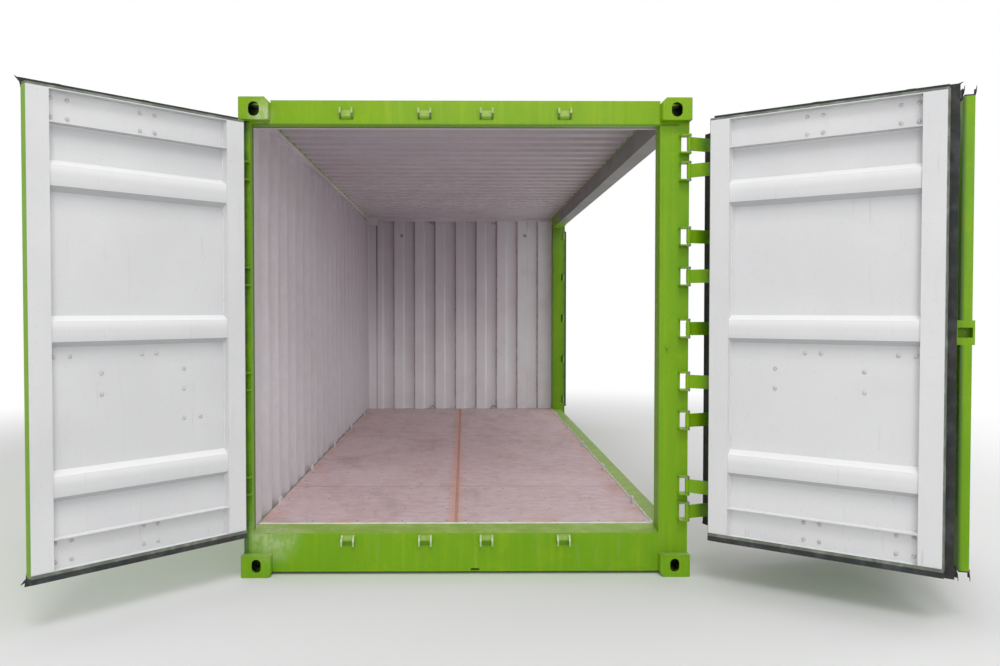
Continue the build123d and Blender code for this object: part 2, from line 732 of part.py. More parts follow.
with BuildPart() as left_door_seal:
    leaf_seal(*left_leaf, seal_below, seal_above)
    leaf_flaps(*left_leaf, flap_rise, flap_drop, flap_tip)

with BuildPart() as left_door_hinges:
    post_hinges(left_place, 1, left_leaf_start, end_levels)

with BuildPart() as left_door_lock_rods:
    lock_rods(left_place, 1, left_rods, end_rod_low, end_rod_high)

with BuildPart() as left_door_rod_fittings:
    rod_fittings(left_place, 1, left_rods, end_leaf_base, end_leaf_height)

with BuildPart() as right_door_frame:
    leaf_frame(*right_leaf)

with BuildPart() as right_door_panel:
    leaf_panel(*right_leaf)

with BuildPart() as right_door_seal:
    leaf_seal(*right_leaf, seal_below, seal_above, seal_free_strip)
    leaf_flaps(*right_leaf, flap_rise, flap_drop)

with BuildPart() as right_door_hinges:
    post_hinges(right_place, -1, right_leaf_start, end_levels)

with BuildPart() as right_door_lock_rods:
    lock_rods(right_place, -1, right_rods, end_rod_low, end_rod_high)

with BuildPart() as right_door_rod_fittings:
    rod_fittings(right_place, -1, right_rods, end_leaf_base, end_leaf_height)

# Folding pairs of the open side: one leaf on the post, the next folded back on it
fold_reach = side_leaf_start + side_leaf_width + fold_gap / 2
fold_start = fold_gap / 2
front_place = door_plane(-pin_x, -pin_y, -front_pair_open)
front_fold = front_place.origin + front_place.x_dir * fold_reach
front_fold_place = door_plane(front_fold.X, front_fold.Y, -front_pair_open - front_pair_fold)
rear_place = door_plane(pin_x, -pin_y, 180 + rear_pair_open)
rear_fold = rear_place.origin + rear_place.x_dir * fold_reach
rear_fold_place = door_plane(rear_fold.X, rear_fold.Y, 180 + rear_pair_open + rear_pair_fold)
leaf_size = (side_leaf_width, side_leaf_base, side_leaf_height)
side_keeper_low = floor_top - keeper_from_edge
side_keeper_high = side_rail_bottom + keeper_from_edge
side_rod_low = side_leaf_base - rod_past_foot
side_rod_high = side_leaf_base + side_leaf_height + rod_past_top
side_rods = (side_leaf_width - side_rod_from_edge, side_rod_low, side_rod_high)
side_seal_below = side_leaf_bottom_gap - seal_clear
side_seal_above = side_leaf_top_gap - seal_clear
post_rod = [side_leaf_start + side_leaf_width - side_rod_from_edge]
free_rod = [fold_start + side_leaf_width - side_rod_from_edge]

free_edge = fold_start + side_leaf_width
with BuildPart() as front_side_frames:
    leaf_frame(front_place, 1, side_leaf_start, *leaf_size)
    leaf_frame(front_fold_place, 1, fold_start, *leaf_size)
    with BuildSketch(section_plane(front_fold_place, free_edge - lock_box_length)):
        with Locations((leaf_set_back + leaf_thickness / 2, lock_box_level)):
            Rectangle(leaf_thickness, lock_box_height)
    extrude(amount=lock_box_length, mode=Mode.SUBTRACT)

with BuildPart() as front_side_panels:
    leaf_panel(front_place, 1, side_leaf_start, *leaf_size)
    leaf_panel(front_fold_place, 1, fold_start, *leaf_size)

with BuildPart() as front_side_seals:
    for place, start in ((front_place, side_leaf_start), (front_fold_place, fold_start)):
        leaf_seal(place, 1, start, *leaf_size, side_seal_below, side_seal_above)
        leaf_flaps(place, 1, start, *leaf_size, side_flap_reach, side_flap_reach)

with BuildPart() as front_side_hinges:
    post_hinges(front_place, 1, side_leaf_start, side_levels)
    for level in side_levels:
        place = door_plane(front_fold.X, front_fold.Y, -front_pair_open)
        hinge_blade(place, 1, fold_start, level + fold_split, level + strap_height / 2, side=-1)
        hinge_blade(front_fold_place, 1, fold_start, level - strap_height / 2, level - fold_split)

with BuildPart() as front_side_lock_rods:
    lock_rods(front_place, 1, post_rod, side_rod_low, side_rod_high)
    lock_rods(front_fold_place, 1, free_rod, side_rod_low, side_rod_high)

with BuildPart() as front_side_rod_fittings:
    rod_fittings(front_place, 1, post_rod, side_leaf_base, side_leaf_height)
    rod_fittings(front_fold_place, 1, free_rod, side_leaf_base, side_leaf_height)

with BuildPart() as rear_side_frames:
    leaf_frame(rear_place, -1, side_leaf_start, *leaf_size)
    leaf_frame(rear_fold_place, -1, fold_start, *leaf_size)

with BuildPart() as rear_side_panels:
    leaf_panel(rear_place, -1, side_leaf_start, *leaf_size)
    leaf_panel(rear_fold_place, -1, fold_start, *leaf_size)

with BuildPart() as rear_side_seals:
    for place, start in ((rear_place, side_leaf_start), (rear_fold_place, fold_start)):
        leaf_seal(place, -1, start, *leaf_size, side_seal_below, side_seal_above)
        leaf_flaps(place, -1, start, *leaf_size, side_flap_reach, side_flap_reach)

with BuildPart() as rear_side_hinges:
    post_hinges(rear_place, -1, side_leaf_start, side_levels)
    for level in side_levels:
        place = door_plane(rear_fold.X, rear_fold.Y, 180 + rear_pair_open)
        hinge_blade(place, -1, fold_start, level + fold_split, level + strap_height / 2, side=-1)
        hinge_blade(rear_fold_place, -1, fold_start, level - strap_height / 2, level - fold_split)

with BuildPart() as rear_side_lock_rods:
    lock_rods(rear_place, -1, post_rod, side_rod_low, side_rod_high)
    lock_rods(rear_fold_place, -1, free_rod, side_rod_low, side_rod_high)

with BuildPart() as rear_side_rod_fittings:
    rod_fittings(rear_place, -1, post_rod, side_leaf_base, side_leaf_height)
    rod_fittings(rear_fold_place, -1, free_rod, side_leaf_base, side_leaf_height)

# Lock box let into the free edge of the front pair
lock_box_back = leaf_set_back + leaf_thickness + lock_box_past_leaf
with BuildPart() as lock_box:
    with BuildSketch(section_plane(front_fold_place, free_edge - lock_box_length)):
        with Locations((lock_box_back - lock_box_depth / 2, lock_box_level)):
            Rectangle(lock_box_depth, lock_box_height)
    extrude(amount=lock_box_length)
    with BuildSketch(section_plane(front_fold_place, free_edge - lock_box_length + lock_box_wall)):
        with Locations((lock_box_back - lock_box_depth / 2, lock_box_level)):
            Rectangle(lock_box_hole_width, lock_box_hole_height)
    extrude(amount=lock_box_length - lock_box_wall, mode=Mode.SUBTRACT)

# Pins of the post hinges and of the fold hinges
pin_reach = lug_gap / 2 + lug_thickness + pin_head
with BuildPart() as hinge_pins:
    with Locations([(-pin_x, pin_y, z) for z in end_levels]):
        Cylinder(pin_radius, 2 * pin_reach)
    with Locations([(-pin_x, -pin_y, z) for z in end_levels + side_levels]):
        Cylinder(pin_radius, 2 * pin_reach)
    with Locations([(pin_x, -pin_y, z) for z in side_levels]):
        Cylinder(pin_radius, 2 * pin_reach)

with BuildPart() as fold_pins:
    for fold in (front_fold, rear_fold):
        with Locations([(fold.X, fold.Y, z) for z in side_levels]):
            Cylinder(pin_radius, strap_height + 2 * pin_head)

# Keepers where the closed cams would stand
left_meeting = pin_y - left_leaf_start - end_leaf_width
keeper_ys = [left_meeting + rod_from_meeting + rod_spacing * i for i in range(2)]
keeper_ys += [2 * opening_centre - y for y in keeper_ys]
keeper_half = cam_length / 2 + keeper_gap
with BuildPart() as end_keepers:
    keepers([(face_x, y, 0) for y in keeper_ys], (-1, 0, 0), (0, 1, 0), ((end_keeper_low, 1), (end_keeper_high, -1)))

rod_xs = [-pin_x + post_rod[0], -pin_x + fold_reach + free_rod[0]]
with BuildPart() as side_keepers:
    keepers([(side * x, face_y, 0) for x in rod_xs for side in (-1, 1)], (0, -1, 0), (-1, 0, 0),
            ((side_keeper_low, 1), (side_keeper_high, -1)))

# Lashing rings along the foot of both long sides
with BuildPart() as lashing_rings:
    spots = [(x, y + side * (ring_bar + ring_stand)) for x in spread(-ring_reach, ring_reach, ring_count)
             for y, side in ((floor_left, -1), (inner_right, 1))]
    with BuildSketch(*[Plane(origin=(x, y, floor_top), x_dir=(1, 0, 0), z_dir=(0, -1, 0)) for x, y in spots]):
        with Locations((0, ring_height / 2)):
            Rectangle(ring_width, ring_height)
            Rectangle(ring_width - 4 * ring_bar, ring_height - 4 * ring_bar, mode=Mode.SUBTRACT)
    extrude(amount=ring_bar, both=True)

pieces = {
    "bottom_corner_fittings": bottom_corner_fittings,
    "top_corner_fittings": top_corner_fittings,
    "left_front_post": left_front_post,
    "right_front_post": right_front_post,
    "left_rear_post": left_rear_post,
    "right_rear_post": right_rear_post,
    "door_header": door_header,
    "door_sill": door_sill,
    "rear_top_rail": rear_top_rail,
    "rear_bottom_rail": rear_bottom_rail,
    "left_top_rail": left_top_rail,
    "right_top_rail": right_top_rail,
    "left_bottom_rail": left_bottom_rail,
    "right_bottom_rail": right_bottom_rail,
    "forklift_pockets": forklift_pockets,
    "cross_members": cross_members,
    "floor_boards": floor_boards,
    "floor_centre_strip": floor_centre_strip,
    "roof_panel": roof_panel,
    "left_side_wall": left_side_wall,
    "rear_wall": rear_wall,
    "hinge_pins": hinge_pins,
    "fold_pins": fold_pins,
    "end_keepers": end_keepers,
    "side_keepers": side_keepers,
    "lashing_rings": lashing_rings,
    "left_door_frame": left_door_frame,
    "left_door_panel": left_door_panel,
    "left_door_seal": left_door_seal,
    "left_door_hinges": left_door_hinges,
    "left_door_lock_rods": left_door_lock_rods,
    "left_door_rod_fittings": left_door_rod_fittings,
    "right_door_frame": right_door_frame,
    "right_door_panel": right_door_panel,
    "right_door_seal": right_door_seal,
    "right_door_hinges": right_door_hinges,
    "right_door_lock_rods": right_door_lock_rods,
    "right_door_rod_fittings": right_door_rod_fittings,
    "front_side_frames": front_side_frames,
    "front_side_panels": front_side_panels,
    "front_side_seals": front_side_seals,
    "front_side_hinges": front_side_hinges,
    "front_side_lock_rods": front_side_lock_rods,
    "front_side_rod_fittings": front_side_rod_fittings,
    "rear_side_frames": rear_side_frames,
    "rear_side_panels": rear_side_panels,
    "rear_side_seals": rear_side_seals,
    "rear_side_hinges": rear_side_hinges,
    "rear_side_lock_rods": rear_side_lock_rods,
    "rear_side_rod_fittings": rear_side_rod_fittings,
    "lock_box": lock_box,
}
for name, piece in pieces.items():
    piece.part.label = name
    export_step(piece.part, "parts/" + name + ".step")
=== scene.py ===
"""Finishes, small pieces, light and camera for the open-side shipping container.

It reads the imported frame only. Lengths are in metres in the row frame: x along the container away from the end
doors, -y towards the open side, z up from the ground.
"""
import json
import math

import bpy
import numpy as np
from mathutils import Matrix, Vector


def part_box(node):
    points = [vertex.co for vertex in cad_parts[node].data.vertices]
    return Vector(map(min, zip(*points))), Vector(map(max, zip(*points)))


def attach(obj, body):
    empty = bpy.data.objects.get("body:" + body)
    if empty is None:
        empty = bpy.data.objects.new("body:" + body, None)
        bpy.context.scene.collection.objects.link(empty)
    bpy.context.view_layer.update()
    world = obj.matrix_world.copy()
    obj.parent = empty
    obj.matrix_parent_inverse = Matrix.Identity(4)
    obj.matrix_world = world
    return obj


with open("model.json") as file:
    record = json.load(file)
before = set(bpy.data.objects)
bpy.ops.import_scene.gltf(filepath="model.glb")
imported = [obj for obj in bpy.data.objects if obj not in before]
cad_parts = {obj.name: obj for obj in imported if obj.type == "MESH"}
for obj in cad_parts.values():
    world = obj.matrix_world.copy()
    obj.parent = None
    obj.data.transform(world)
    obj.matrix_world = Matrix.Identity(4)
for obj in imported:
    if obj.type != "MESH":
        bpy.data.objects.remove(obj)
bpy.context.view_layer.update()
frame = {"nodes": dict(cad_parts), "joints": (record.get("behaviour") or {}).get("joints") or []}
nodes = frame["nodes"]

# Hinge lines, and the leaves: depths from the hinge line, stile width, sizes and levels
PIN_X = 3.014
PIN_Y = 1.204
LEAF_BACK = 0.040
LEAF_FACE = 0.090
SHEET_BACK = 0.042
STILE = 0.100
END_WIDTH = 1.0975
END_LOW, END_HIGH = 0.273, 2.435
SIDE_WIDTH = 1.413
SIDE_LOW, SIDE_HIGH = 0.258, 2.418
FOLD_REACH = 1.589

# How far from its hinge line each leaf starts, and how the side pairs stand: first leaf, then fold, in degrees
LEFT_START, RIGHT_START, SIDE_START, FOLDED_START = 0.044, 0.155, 0.171, 0.005
FRONT_TURN, FRONT_FOLD = -68.7, -130.9
REAR_TURN, REAR_FOLD = 11.0, 160.0

# The door sill: its face, its back, its toe's edges along y, and its front and back levels
SILL_FACE_X, SILL_BACK_X = -2.969, -2.821
TOE_RIGHT_Y, TOE_LEFT_Y = 1.056, 1.174
SILL_FRONT_TOP, SILL_BACK_TOP = 0.2282, 0.2460


# Colours, given as they look on a screen and worked out as light
def tint(red, green, blue):
    return tuple(((c / 255 + 0.055) / 1.055) ** 2.4 if c > 10 else c / 255 / 12.92 for c in (red, green, blue))


LIME = tint(120, 169, 8)
LIME_YELLOW = tint(148, 180, 18)
LIME_DEEP = tint(94, 147, 6)
# Dark lime for painted shade and shadow, mixed with dirt in places
LIME_SHADE_AND_DIRT = tint(52, 92, 16)
CHALK = tint(178, 198, 120)
DOOR_WHITE = tint(224, 224, 225)
DOOR_GREY = tint(210, 210, 212)
ROOM_WHITE = tint(212, 205, 212)
ROOM_GREY = tint(198, 189, 197)
ROOM_BROWN = tint(160, 140, 134)
# A darker room grey: painted shade deep in the container, and the rails' mottled grey
ROOM_GREY_AND_SHADE = tint(180, 170, 180)
ROOM_COOL = tint(214, 213, 218)
# The open side's top rail: its white made darker, painted shade with dust, and its mottled grey
RAIL_DUST_AND_SHADE = tint(146, 146, 144)
RAIL_DEEP = tint(116, 120, 112)
DUST = tint(168, 156, 142)
GRIME = tint(58, 54, 48)
SEAM = tint(96, 84, 82)
# Painted shade inside the corner fittings' hollows
HOLLOW_SHADE = tint(24, 30, 18)
RUBBER = tint(46, 50, 50)
RUBBER_DUSTY = tint(100, 98, 102)
RUBBER_BROWN = tint(74, 54, 50)
RUBBER_PALE = tint(158, 168, 152)
RUST = tint(150, 82, 44)
RUST_PALE = tint(204, 142, 112)
STEEL = tint(150, 150, 146)
PLY = tint(226, 203, 207)
PLY_DARK = tint(206, 178, 181)
PLY_WARM = tint(206, 170, 164)
PLY_GREY = tint(176, 152, 150)
PLY_PALE = tint(230, 214, 216)
PLY_ORANGE = tint(222, 160, 132)
SEALANT = tint(228, 228, 226)
CHALK_PALE = tint(206, 216, 178)
# Dark blue-green for painted shadow and shade on lime, mixed with dirt in places
TEAL_SHADE_AND_DIRT = tint(40, 62, 44)
# Painted highlight on the doors' upward edges, and painted light on the rear wall
HIGHLIGHT_WHITE = tint(252, 252, 253)
# Painted shade and shadow on the doors' white
SHADE_GREY = tint(176, 177, 180)

# Rear wall: the y of a fold that is only painted, as a dark line of painted shadow and dirt, and the y and z of
# two dark marks
REAR_FOLD_Y = 1.073
REAR_MARKS = ((0.767, 2.352), (-0.728, 2.352))

# Floor: the middle of the steel strip, and the boards' cross joints
STRIP_Y = 0.0555
BOARD_JOINTS = (-1.775, 0.665)

# Height of the dark line where the header's plate is welded on, painted shade in the joint with gasket marks,
# and its reach to either side
HEADER_EDGE = 2.455
HEADER_REACH = 1.16

# The frame's front face, the left post's inner side, and the middle of the far right post
FRAME_FACE_X = -2.970
LEFT_POST_Y = 1.170
FAR_POST_Y = -1.130

# Corner fittings: middle of their hollows, half their height, and the foot of the upper ones
FITTING_X, FITTING_Y, FITTING_HALF = 2.940, 1.138, 0.059
TOP_FITTING_FOOT = 2.473

# Levels between which the keepers' base plates are worn
SILL_KEEPER_WORN = (0.186, 0.219)
HEADER_KEEPER_WORN = (2.497, 2.535)

# Bolt heads: how deep in the leaf they sit, and their size
BOLT_SEAT, BOLT_RADIUS, BOLT_HEIGHT = 0.044, 0.0105, 0.008

# Bolt spots of the lock rods' pieces: brackets near the leaf's ends, one guide, and the handle's retainer
BRACKET_FROM_END, BOLT_ALONG, BOLT_UP = 0.078, 0.0375, 0.042
GUIDE_LEVEL = 1.238
RETAINER_AWAY, RETAINER_LEVELS = 0.184, (1.155, 1.055)

# Raised bands of the doors' sheets: distance of the outer ones from the leaf's ends, and half their height
BAND_FROM_END = 0.382
BAND_HALF = 0.071

# The frame is lime as far as this behind its face, and room paint from there on
REVEAL_X = -2.890

# Underside of the roof sheet's valleys, and of its crests, which end at the rear rail
ROOF_UNDER = 2.555
CREST_UNDER = 2.5755

# Scuffed spots on the frame: place, reach and strength
SCUFFS = (((-3.03, 1.09, 2.50), 0.1, 0.6), ((-2.95, 1.06, 0.22), 0.2, 0.5))


class Socket:
    """An output of a shader node. Python arithmetic on it adds Math nodes to the same material."""

    def __init__(self, coat, link):
        self.coat = coat
        self.link = link

    def _math(self, operation, first, second):
        return self.coat.node("ShaderNodeMath", {"operation": operation}, {0: first, 1: second})

    def __add__(self, other):
        return self._math("ADD", self, other)

    def __radd__(self, other):
        return self._math("ADD", other, self)

    def __sub__(self, other):
        return self._math("SUBTRACT", self, other)

    def __rsub__(self, other):
        return self._math("SUBTRACT", other, self)

    def __mul__(self, other):
        return self._math("MULTIPLY", self, other)

    def __rmul__(self, other):
        return self._math("MULTIPLY", other, self)

    def __gt__(self, other):
        return self._math("GREATER_THAN", self, other)

    def __lt__(self, other):
        return self._math("LESS_THAN", self, other)

    def __abs__(self):
        return self._math("ABSOLUTE", self, 0.0)


class Coat:
    """A material that is built from expressions on the object's own coordinates."""

    def __init__(self, name):
        self.material = bpy.data.materials.new(name)
        self.material.use_nodes = True
        self.tree = self.material.node_tree
        self.tree.nodes.clear()
        self.place = self.node("ShaderNodeTexCoord", output="Object")
        self.normal = self.sibling(self.place, "Normal")
        self.x, self.y, self.z = self.parts(self.place)

    def node(self, kind, settings=None, inputs=None, output=0):
        """Adds a node, sets it, feeds its sockets with values or other sockets, and gives an output."""
        node = self.tree.nodes.new(kind)
        for key, value in (settings or {}).items():
            setattr(node, key, value)
        for key, value in (inputs or {}).items():
            socket = node.inputs[key]
            if isinstance(value, Socket):
                self.tree.links.new(value.link, socket)
            elif isinstance(value, tuple) and socket.type == "RGBA":
                socket.default_value = (*value, 1.0)
            else:
                socket.default_value = value
        return None if output is None else Socket(self, node.outputs[output])

    def sibling(self, socket, output):
        return Socket(self, socket.link.node.outputs[output])

    def parts(self, vector):
        first = self.node("ShaderNodeSeparateXYZ", {}, {0: vector}, "X")
        return first, self.sibling(first, "Y"), self.sibling(first, "Z")

    def mix(self, mask, first, second):
        return self.node("ShaderNodeMix", {"data_type": "RGBA"}, {0: mask, 6: first, 7: second}, 2)

    def ramp(self, value, low, high):
        """0 below low, 1 above high and a smooth step between them; low may be the larger."""
        settings = {"interpolation_type": "SMOOTHSTEP"}
        return self.node("ShaderNodeMapRange", settings, {"Value": value, "From Min": low, "From Max": high})

    def stretch(self, x, y, z):
        return self.node("ShaderNodeVectorMath", {"operation": "MULTIPLY"}, {0: self.place, 1: (x, y, z)})

    def noise(self, scale, detail=3.0, rough=0.55, where=None):
        inputs = {"Vector": where or self.place, "Scale": scale, "Detail": detail, "Roughness": rough}
        return self.node("ShaderNodeTexNoise", {}, inputs)

    def finish(self, colour, roughness, height, depth, metallic=0.0, coat=0.0, specular=0.5):
        """Joins colour, roughness and relief to the shader, with depth in metres for a relief of 1."""
        bump = self.node("ShaderNodeBump", {}, {"Height": height, "Distance": depth, "Strength": 1.0})
        inputs = {"Base Color": colour, "Roughness": roughness, "Normal": bump, "Metallic": metallic,
                  "Coat Weight": coat, "Specular IOR Level": specular}
        shader = self.node("ShaderNodeBsdfPrincipled", {}, inputs)
        return self.output(shader)

    def output(self, shader):
        """Makes a shader the material's surface."""
        self.node("ShaderNodeOutputMaterial", {}, {"Surface": shader}, None)
        return self.material


class Leaf:
    """A door leaf's own frame: u runs along it from the hinge, w from its hinge line to its inner face."""

    def __init__(self, pin, angle, hand, start, width, low, high):
        self.pin = np.array(pin)
        turn = math.radians(angle)
        self.along = np.array((math.cos(turn), math.sin(turn)))
        self.inward = hand * np.array((-math.sin(turn), math.cos(turn)))
        self.hand, self.angle = hand, angle
        self.start, self.width, self.low, self.high = start, width, low, high
        self.end = start + width

    def at(self, u, w, z):
        """Points of the row frame for arrays of u, w and z."""
        u, w, z = np.broadcast_arrays(np.asarray(u, float), np.asarray(w, float), np.asarray(z, float))
        flat = self.pin + u[..., None] * self.along + w[..., None] * self.inward
        return np.concatenate([flat, z[..., None]], axis=-1)

    def along_of(self, coat):
        return (coat.x - self.pin[0]) * self.along[0] + (coat.y - self.pin[1]) * self.along[1]

    def depth_of(self, coat):
        return (coat.x - self.pin[0]) * self.inward[0] + (coat.y - self.pin[1]) * self.inward[1]

    def faces_inward(self, coat):
        """1 where the surface looks into the container."""
        x, y, z = coat.parts(coat.normal)
        return (x * self.inward[0] + y * self.inward[1]) > 0.0

    def fold(self, turn, start):
        """The leaf that hangs on this one's far edge, turned on by an angle."""
        pin = self.pin + self.along * FOLD_REACH
        return Leaf(pin, self.angle + turn, self.hand, start, self.width, self.low, self.high)


# The end doors' ranges count from the closed door, which lies along the end of the container
limits = {joint["name"]: joint["range_deg"] for joint in frame["joints"]}
end_size = (END_WIDTH, END_LOW, END_HIGH)
side_size = (SIDE_WIDTH, SIDE_LOW, SIDE_HIGH)
left_leaf = Leaf((-PIN_X, PIN_Y), limits["left_door_hinge"][0] - 90.0, 1, LEFT_START, *end_size)
right_leaf = Leaf((-PIN_X, -PIN_Y), 90.0 - limits["right_door_hinge"][0], -1, RIGHT_START, *end_size)
front_leaf = Leaf((-PIN_X, -PIN_Y), FRONT_TURN, 1, SIDE_START, *side_size)
front_folded = front_leaf.fold(FRONT_FOLD, FOLDED_START)
rear_leaf = Leaf((PIN_X, -PIN_Y), REAR_TURN, -1, SIDE_START, *side_size)
rear_folded = rear_leaf.fold(REAR_FOLD, FOLDED_START)


# Finishes
def lime_look(coat):
    """Colour, roughness and relief of the lime paint: cloudy film, streaks, orange peel, dust and dirt,
    pale dust with painted top light on upward faces, and a dark weld line of painted shade and gasket marks.
    """
    cloud = coat.ramp(coat.noise(1.1, 4.0), 0.35, 0.7)
    patch = coat.ramp(coat.noise(7.0, 4.0, 0.65), 0.5, 0.75)
    streak = coat.ramp(coat.noise(4.0, 4.0, 0.6, coat.stretch(7.0, 7.0, 0.35)), 0.45, 0.72)
    runs = coat.ramp(coat.noise(5.0, 5.0, 0.6, coat.stretch(6.0, 6.0, 0.5)), 0.55, 0.78)
    speck = coat.ramp(coat.noise(130.0, 2.0, 0.6), 0.62, 0.72)
    low = coat.ramp(coat.z, 0.55, 0.02)
    high = coat.ramp(coat.z, 2.38, 2.52)
    lying = coat.ramp(coat.parts(coat.normal)[2], 0.6, 0.95)
    lugs = (coat.x < FRAME_FACE_X) * (coat.y > LEFT_POST_Y) * (coat.z > 0.2) * (coat.z < 2.45)
    # Upward faces paler: dust with painted light on tops, but not on the hinge lugs
    dust_and_top_light = lying * (1 - lugs) * (0.35 + coat.ramp(coat.noise(9.0, 5.0, 0.7), 0.4, 0.7) * 0.45)
    colour = coat.mix(cloud * 0.5, LIME, LIME_DEEP)
    colour = coat.mix(patch * 0.4, colour, LIME_YELLOW)
    colour = coat.mix(streak * 0.35 + high * 0.35, colour, LIME_YELLOW)
    colour = coat.mix(runs * 0.06, colour, CHALK)
    colour = coat.mix(runs * low * 0.12, colour, DUST)
    colour = coat.mix(dust_and_top_light, colour, CHALK)
    colour = coat.mix(scuffed(coat), colour, CHALK_PALE)
    colour = coat.mix(speck * 0.3, colour, GRIME)
    # Dark line at the header's weld: painted shade in the joint, with gasket marks
    front = (coat.x < FRAME_FACE_X + 0.010) * (abs(coat.y) < HEADER_REACH)
    joint_shade_and_marks = coat.ramp(abs(coat.z - HEADER_EDGE), 0.007, 0.003) * front
    colour = coat.mix(joint_shade_and_marks * 0.6, colour, LIME_SHADE_AND_DIRT)
    roughness = 0.42 + patch * 0.14 + low * 0.08 + dust_and_top_light * 0.2
    relief = coat.noise(420.0, 2.0) * 0.35 + coat.noise(28.0, 3.0) * 0.65
    return colour, roughness, relief


def scuffed(coat):
    """Pale scuffs round the spots where the left door's corner and its seal rub the frame."""
    rub = coat.ramp(coat.noise(26.0, 5.0, 0.7, coat.stretch(1.0, 1.0, 0.6)), 0.42, 0.62)
    total = 0.0
    for spot, reach, strength in SCUFFS:
        away = coat.node("ShaderNodeVectorMath", {"operation": "DISTANCE"}, {0: coat.place, 1: spot}, "Value")
        total = coat.ramp(away, reach, 0.2 * reach) * strength + total
    return total * (0.4 + rub * 0.6)


def white_look(coat, white, grey, stain):
    """Colour, roughness and relief of white paint: soft clouds, grey rub marks, thin stains and specks."""
    cloud = coat.ramp(coat.noise(0.9, 4.0), 0.35, 0.7)
    rub = coat.ramp(coat.noise(3.2, 5.0, 0.65, coat.stretch(1.0, 1.0, 2.2)), 0.55, 0.8)
    runs = coat.ramp(coat.noise(6.0, 5.0, 0.6, coat.stretch(5.0, 5.0, 0.4)), 0.6, 0.8)
    speck = coat.ramp(coat.noise(95.0, 2.0, 0.6), 0.66, 0.74)
    low = coat.ramp(coat.z, 0.75, 0.25)
    colour = coat.mix(cloud * 0.7, white, grey)
    colour = coat.mix(rub * 0.3, colour, grey)
    colour = coat.mix(runs * (0.18 + low * 0.3), colour, stain)
    colour = coat.mix(speck * 0.3, colour, stain)
    roughness = 0.46 + rub * 0.2
    relief = coat.noise(380.0, 2.0) * 0.3 + coat.noise(18.0, 3.0) * 0.7
    return colour, roughness, relief


def two_tone(name, mask_of, white=DOOR_WHITE, grey=DOOR_GREY, stain=DUST, shade_of=None, dirt_and_shade_of=None):
    """Lime paint with white where mask_of gives 1; shade_of may add dirt and painted light and shade to the
    white, dirt_and_shade_of dirt and painted shade to the lime.
    """
    coat = Coat(name)
    lime = lime_look(coat)
    pale = white_look(coat, white, grey, stain)
    pale_colour = shade_of(coat, pale[0]) if shade_of else pale[0]
    mask = mask_of(coat)
    lime_colour = dirt_and_shade_of(coat, lime[0]) if dirt_and_shade_of else lime[0]
    colour = coat.mix(mask, lime_colour, pale_colour)
    roughness = lime[1] + (pale[1] - lime[1]) * mask
    return coat.finish(colour, roughness, lime[2], 0.0006, coat=0.04, specular=0.22)


def folds_shade(axis, start, end, strength, fold_dirt_and_shade, line=None):
    """Brown dirt and painted shade on the folds that face along an axis, and painted shade that deepens from
    start to end along x; cooler and paler towards the bottom.

    With a line the sheet is the rear wall: painted light towards the open side and the foot and on the folds
    that face the light, dirt and painted shade on the folds away from it, and a dark line of painted shadow and
    dirt, for a fold that is only painted, runs at that y.
    """
    def shade(coat, colour):
        facing = coat.parts(coat.normal)[axis]
        slope = coat.ramp(abs(facing) if line is None else facing, 0.12, 0.5)
        dirt = 0.4 + coat.ramp(coat.noise(11.0, 5.0, 0.7), 0.35, 0.7) * 0.6
        # Painted shade that deepens from start to end along x
        colour = coat.mix(coat.ramp(coat.x, start, end) * strength, colour, ROOM_GREY_AND_SHADE)
        colour = coat.mix(coat.ramp(coat.z, 2.0, 0.3) * 0.6, colour, ROOM_COOL)
        if line is not None:
            # Painted light on the rear wall, towards the open side, towards its foot and on folds facing the
            # light
            colour = coat.mix(coat.ramp(coat.y, 0.0, -0.95) * 0.55, colour, HIGHLIGHT_WHITE)
            colour = coat.mix(coat.ramp(coat.z, 2.0, 0.5) * 0.7, colour, HIGHLIGHT_WHITE)
            lit = coat.ramp(facing, -0.12, -0.5) * coat.ramp(coat.z, 2.3, 0.6)
            colour = coat.mix(lit * 0.3, colour, HIGHLIGHT_WHITE)
        corner = coat.ramp(coat.noise(2.2, 4.0, 0.6), 0.45, 0.75)
        colour = coat.mix(corner * 0.14, colour, ROOM_BROWN)
        # Brown dirt with painted shade on the folds' slopes
        colour = coat.mix(slope * dirt * fold_dirt_and_shade, colour, ROOM_BROWN)
        if line is None:
            return colour
        for y, z in REAR_MARKS:
            across, up = abs(coat.y - y), abs(coat.z - z)
            away = coat.node("ShaderNodeMath", {"operation": "MAXIMUM"}, {0: across, 1: up})
            colour = coat.mix(coat.ramp(away, 0.024, 0.012) * 0.6, colour, SEAM)
        # Dark line for a fold that is only painted: painted shadow with dirt, stronger higher up
        seam = coat.ramp(abs(coat.y - line + coat.noise(3.0) * 0.004), 0.014, 0.004)
        high = coat.ramp(coat.z, 0.9, 2.3)
        return coat.mix(seam * (0.35 + high * 0.5), colour, SEAM)
    return shade


